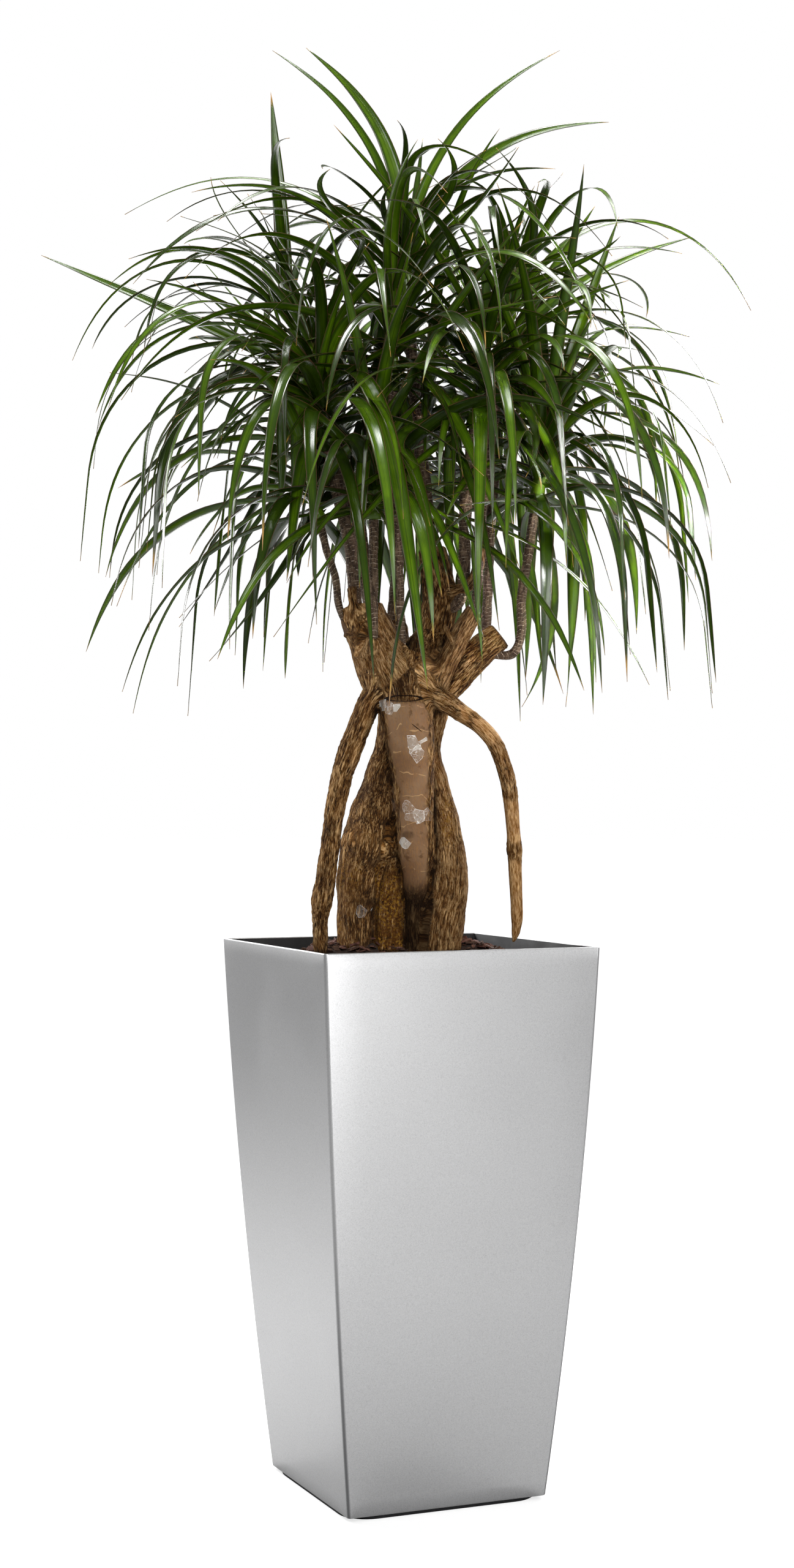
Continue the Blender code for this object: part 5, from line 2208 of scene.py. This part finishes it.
class Canopy:
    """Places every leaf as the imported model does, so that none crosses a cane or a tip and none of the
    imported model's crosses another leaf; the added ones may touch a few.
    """

    def __init__(self) -> None:
        """Stands the wood and the green tips that the leaves keep clear of."""
        self.wood = [wood_tree(rings_along(limb.places(), limb.radii(), LIMB_SIDES[name]))
                     for name, limb in LIMBS.items()]
        self.cores = {}
        for name, stem in STEMS.items():
            self.wood.append(wood_tree(rings_along(stem.places(), stem.place_radii(), CORE_SIDES)))
            start, heading = stem.tip_axis()
            shares = (0.0, 0.5, 1.0)
            route = [start + heading * stem.tip * share for share in shares]
            radii = [stem.core_radius(share) for share in shares]
            self.cores[name] = wood_tree(rings_along(route, radii, CORE_SIDES))
        self.standing = {name: [] for name in STEMS}
        self.leaves = {name: [] for name in STEMS}

    def is_clear(self, name: str, points: list[Vector], spare: int = 0) -> bool:
        """Whether a blade is clear of all wood and of the leaves. Roots may meet inside their own stem.

        Args:
            name: the blade's stem.
            points: its corners.
            spare: how many leaves it may touch, with the roots of other stems' leaves left out.

        Returns:
            Whether it is clear.
        """
        whole, open_part = blade_trees(points)
        others = [tree for other, tree in self.cores.items() if other != name]
        if any(whole.overlap(tree) for tree in self.wood + others):
            return False
        touched = 0
        for other, blades in self.standing.items():
            part = open_part if other == name else whole
            for standing in blades:
                touched += bool(part.overlap(standing[1 if other == name or spare else 0]))
                if touched > spare:
                    return False
        return True

    def is_clear_inside(self, name: str, points: list[Vector]) -> bool:
        """Whether a blade is clear and stays inside the crown's dome."""
        return is_inside_dome(points) and self.is_clear(name, points)

    def may_hang(self, name: str, points: list[Vector]) -> bool:
        """Whether a blade touches only a few other leaves."""
        return self.is_clear(name, points, SPARE_TOUCHES)

    def may_fill(self, name: str, points: list[Vector]) -> bool:
        """Whether a blade stays low, inside the dome, and touches only a few other leaves."""
        low = max(point.z for point in points) < FILLER_TOP
        return low and is_inside_dome(points) and self.may_hang(name, points)

    def place(self, name: str, key: int, make: Callable, allowed: Callable, tries: int = LEAF_TRIES) -> None:
        """Tries the leaves that make draws until one is allowed, and stands that one on its stem.

        Args:
            name: the stem.
            key: the seed of its draws.
            make: makes a leaf from its draws and the number of failed tries.
            allowed: whether a blade with these corners may stand.
            tries: how many are made at most.
        """
        draw = random.Random(key).uniform
        for attempt in range(tries):
            leaf = make(draw, attempt)
            if allowed(name, leaf.plain_points(LEAF_CLEAR)):
                self.leaves[name].append(leaf)
                self.standing[name].append(blade_trees(leaf.plain_points()))
                return

    def grow_all(self) -> None:
        """Sets the single leaves, then fills every stem from its top down, the stems in turn."""
        for i, plan in enumerate(SINGLE_LEAVES):
            self.place(plan.stem, SEED + i, partial(single_leaf, plan), self.is_clear)
        for order in range(max(stem.leaves for stem in STEMS.values())):
            for i, (name, stem) in enumerate(STEMS.items()):
                if order < stem.leaves:
                    make = partial(common_leaf, stem, 2.4 * i, order)
                    self.place(name, SEED + 1000 * (i + 1) + order, make, self.is_clear_inside)

    def hang_front(self) -> None:
        """Adds the broad leaves that hang in front."""
        for i, plan in enumerate(FRONT_LEAVES):
            self.place(plan.stem, SEED + 500 + i, partial(single_leaf, plan), self.may_hang)

    def fill_in(self, share: float, seed: int) -> None:
        """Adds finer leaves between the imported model's.

        Args:
            share: how many there are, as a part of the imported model's.
            seed: the seed of their draws.
        """
        for i, (name, stem) in enumerate(STEMS.items()):
            for order in range(round(stem.leaves * share)):
                self.place(name, seed + 1000 * (i + 1) + order,
                           lambda draw, attempt: filler_leaf(stem, draw), self.may_fill, FILLER_TRIES)


@dataclass
class Foliage:
    """Every leafy tip: fine, folded, closed blades on a green core."""

    stations: int = 26
    fold: float = 0.22
    thick: float = 0.00045
    filler: float = 0.25
    breadth: float = 1.42
    top_breadth: float = 1.12
    single_breadth: float = 1.20
    top_span: tuple[float, float] = (1.44, 1.60)
    tip_width: float = 0.015
    ripple: float = 0.05
    dry_share: float = 0.18
    core_rings: int = 12
    core_sides: int = 14
    core_size: float = 0.92
    seed: int = 5
    columns: tuple[float, ...] = (-1.0, -0.62, -0.24, 0.0, 0.24, 0.62, 1.0)

    def build(self, finish: Material) -> None:
        """Makes the leafy tip of every stem.

        Args:
            finish: their material.
        """
        canopy = Canopy()
        canopy.grow_all()
        canopy.hang_front()
        canopy.fill_in(self.filler, self.seed)
        log.info("leaves: %d", sum(len(group) for group in canopy.leaves.values()))
        for number, (name, group) in enumerate(canopy.leaves.items()):
            mesh = self.tip_mesh(name, group, number)
            add_piece("leafy_tip_" + name, mesh, Slot.LEAF, "leaves_" + name, finish)

    def tip_mesh(self, name: str, group: list[Leaf], number: int) -> Mesh:
        """The mesh of one leafy tip.

        Args:
            name: the stem's name.
            group: its leaves.
            number: its number in the list.

        Returns:
            The mesh.
        """
        draw = random.Random(self.seed + number)
        corners, faces = [], []
        self.add_core(STEMS[name], corners, faces)
        for order, leaf in enumerate(group):
            twist = TWISTED_LEAVES.get((name, order), leaf.twist)
            self.add_leaf(replace(leaf, twist=twist), draw, corners, faces)
        points, blade, tone, dry = zip(*corners)
        mesh = make_mesh("leafy_tip_" + name, points, faces)
        store(mesh, "tone", tone)
        store(mesh, "dry", dry)
        layer = mesh.uv_layers.new(name="blade")
        indices = np.empty(len(mesh.loops), dtype=np.int32)
        mesh.loops.foreach_get("vertex_index", indices)
        layer.uv.foreach_set("vector", np.array(blade, dtype=np.float32)[indices].ravel())
        return mesh

    def add_core(self, stem: Stem, corners: list[tuple], faces: Faces) -> None:
        """Adds the green tip that the leaves grow from.

        Args:
            stem: the stem.
            corners: the rows to add to: a point, its place on the blade, its tone and its dryness.
            faces: the faces to add to.
        """
        start, heading = stem.tip_axis()
        spoke = heading.orthogonal()
        other = heading.cross(spoke)
        faces += tube_faces(self.core_rings + 1, self.core_sides, len(corners))
        for ring in range(self.core_rings + 1):
            share = ring / self.core_rings
            place = start + heading * stem.tip * share
            radius = stem.core_radius(share) * self.core_size
            corners += [(point, (0.5, 0.02), 0.4, 0.0)
                        for point in ring_points(place, spoke, other, radius, self.core_sides)]

    def add_leaf(self, leaf: Leaf, draw: random.Random, corners: list[tuple], faces: Faces) -> None:
        """Adds one folded, closed blade.

        Args:
            leaf: the leaf.
            draw: draws its looks.
            corners: the rows to add to: a point, its place on the blade, its tone and its dryness.
            faces: the faces to add to.
        """
        path = leaf.path()
        tone = draw.uniform(0.45, 1.0) if leaf.single else draw.random()
        dry = draw.uniform(0.05, 0.35) if draw.random() < self.dry_share else 0.0
        wave = draw.uniform(0.0, math.tau)
        breadth = self.single_breadth
        if not leaf.single:
            breadth = mix(self.breadth, self.top_breadth, ease(*self.top_span, leaf.root.z))
        count = len(self.columns)
        first = len(corners)
        for row in range(self.stations):
            share = row / (self.stations - 1)
            step = share * LEAF_STEPS
            low = min(int(step), LEAF_STEPS - 1)
            place = path[low][0].lerp(path[low + 1][0], step - low)
            heading, lean = (mix(path[low][i], path[low + 1][i], step - low) for i in (1, 2))
            side, face = leaf.section(heading, lean, share)
            half = 0.5 * leaf.width * breadth * max(leaf_width(share), self.tip_width)
            ripple = self.ripple * math.sin(share * 21.0 + wave)
            fold = self.fold * (1.0 - 0.55 * share) + ripple * 0.5
            for layer in (1.0, -1.0):
                for column in self.columns:
                    rise = (abs(column) ** 1.3 * half * fold * 1.6
                            + layer * self.thick * (1.0 - 0.7 * abs(column)) + ripple * half * 0.4 * column)
                    corners.append((place + side * half * column + face * rise,
                                    (0.5 + 0.5 * column, share), tone, dry))
        for row in range(self.stations - 1):
            low, high = first + row * 2 * count, first + (row + 1) * 2 * count
            for i in range(count - 1):
                faces.append((low + i, low + i + 1, high + i + 1, high + i))
                faces.append((low + count + i + 1, low + count + i, high + count + i, high + count + i + 1))
            faces.append((low, high, high + count, low + count))
            faces.append((low + count - 1, low + 2 * count - 1, high + 2 * count - 1, high + count - 1))
        end = first + (self.stations - 1) * 2 * count
        faces.append((*range(first, first + count), *reversed(range(first + count, first + 2 * count))))
        faces.append((*range(end + count, end + 2 * count), *reversed(range(end, end + count))))


def main() -> None:
    """Builds the studio and every piece."""
    logging.basicConfig(level=logging.INFO, format="%(name)s %(message)s")
    shared = Shared()
    Studio().build()
    planter = Planter()
    plastic = BlackPlastic().build(shared)
    planter.build(SilverLacquer().build(shared), plastic)
    liner = Liner(planter)
    liner.build(plastic)
    Soil(liner).build(BarkSoil().build(shared))
    Trunk().build(Bark().build(shared))
    Canes().build(CaneSkin().build(shared))
    Foliage().build(LeafSkin().build(shared))


if __name__ == "__main__":
    main()
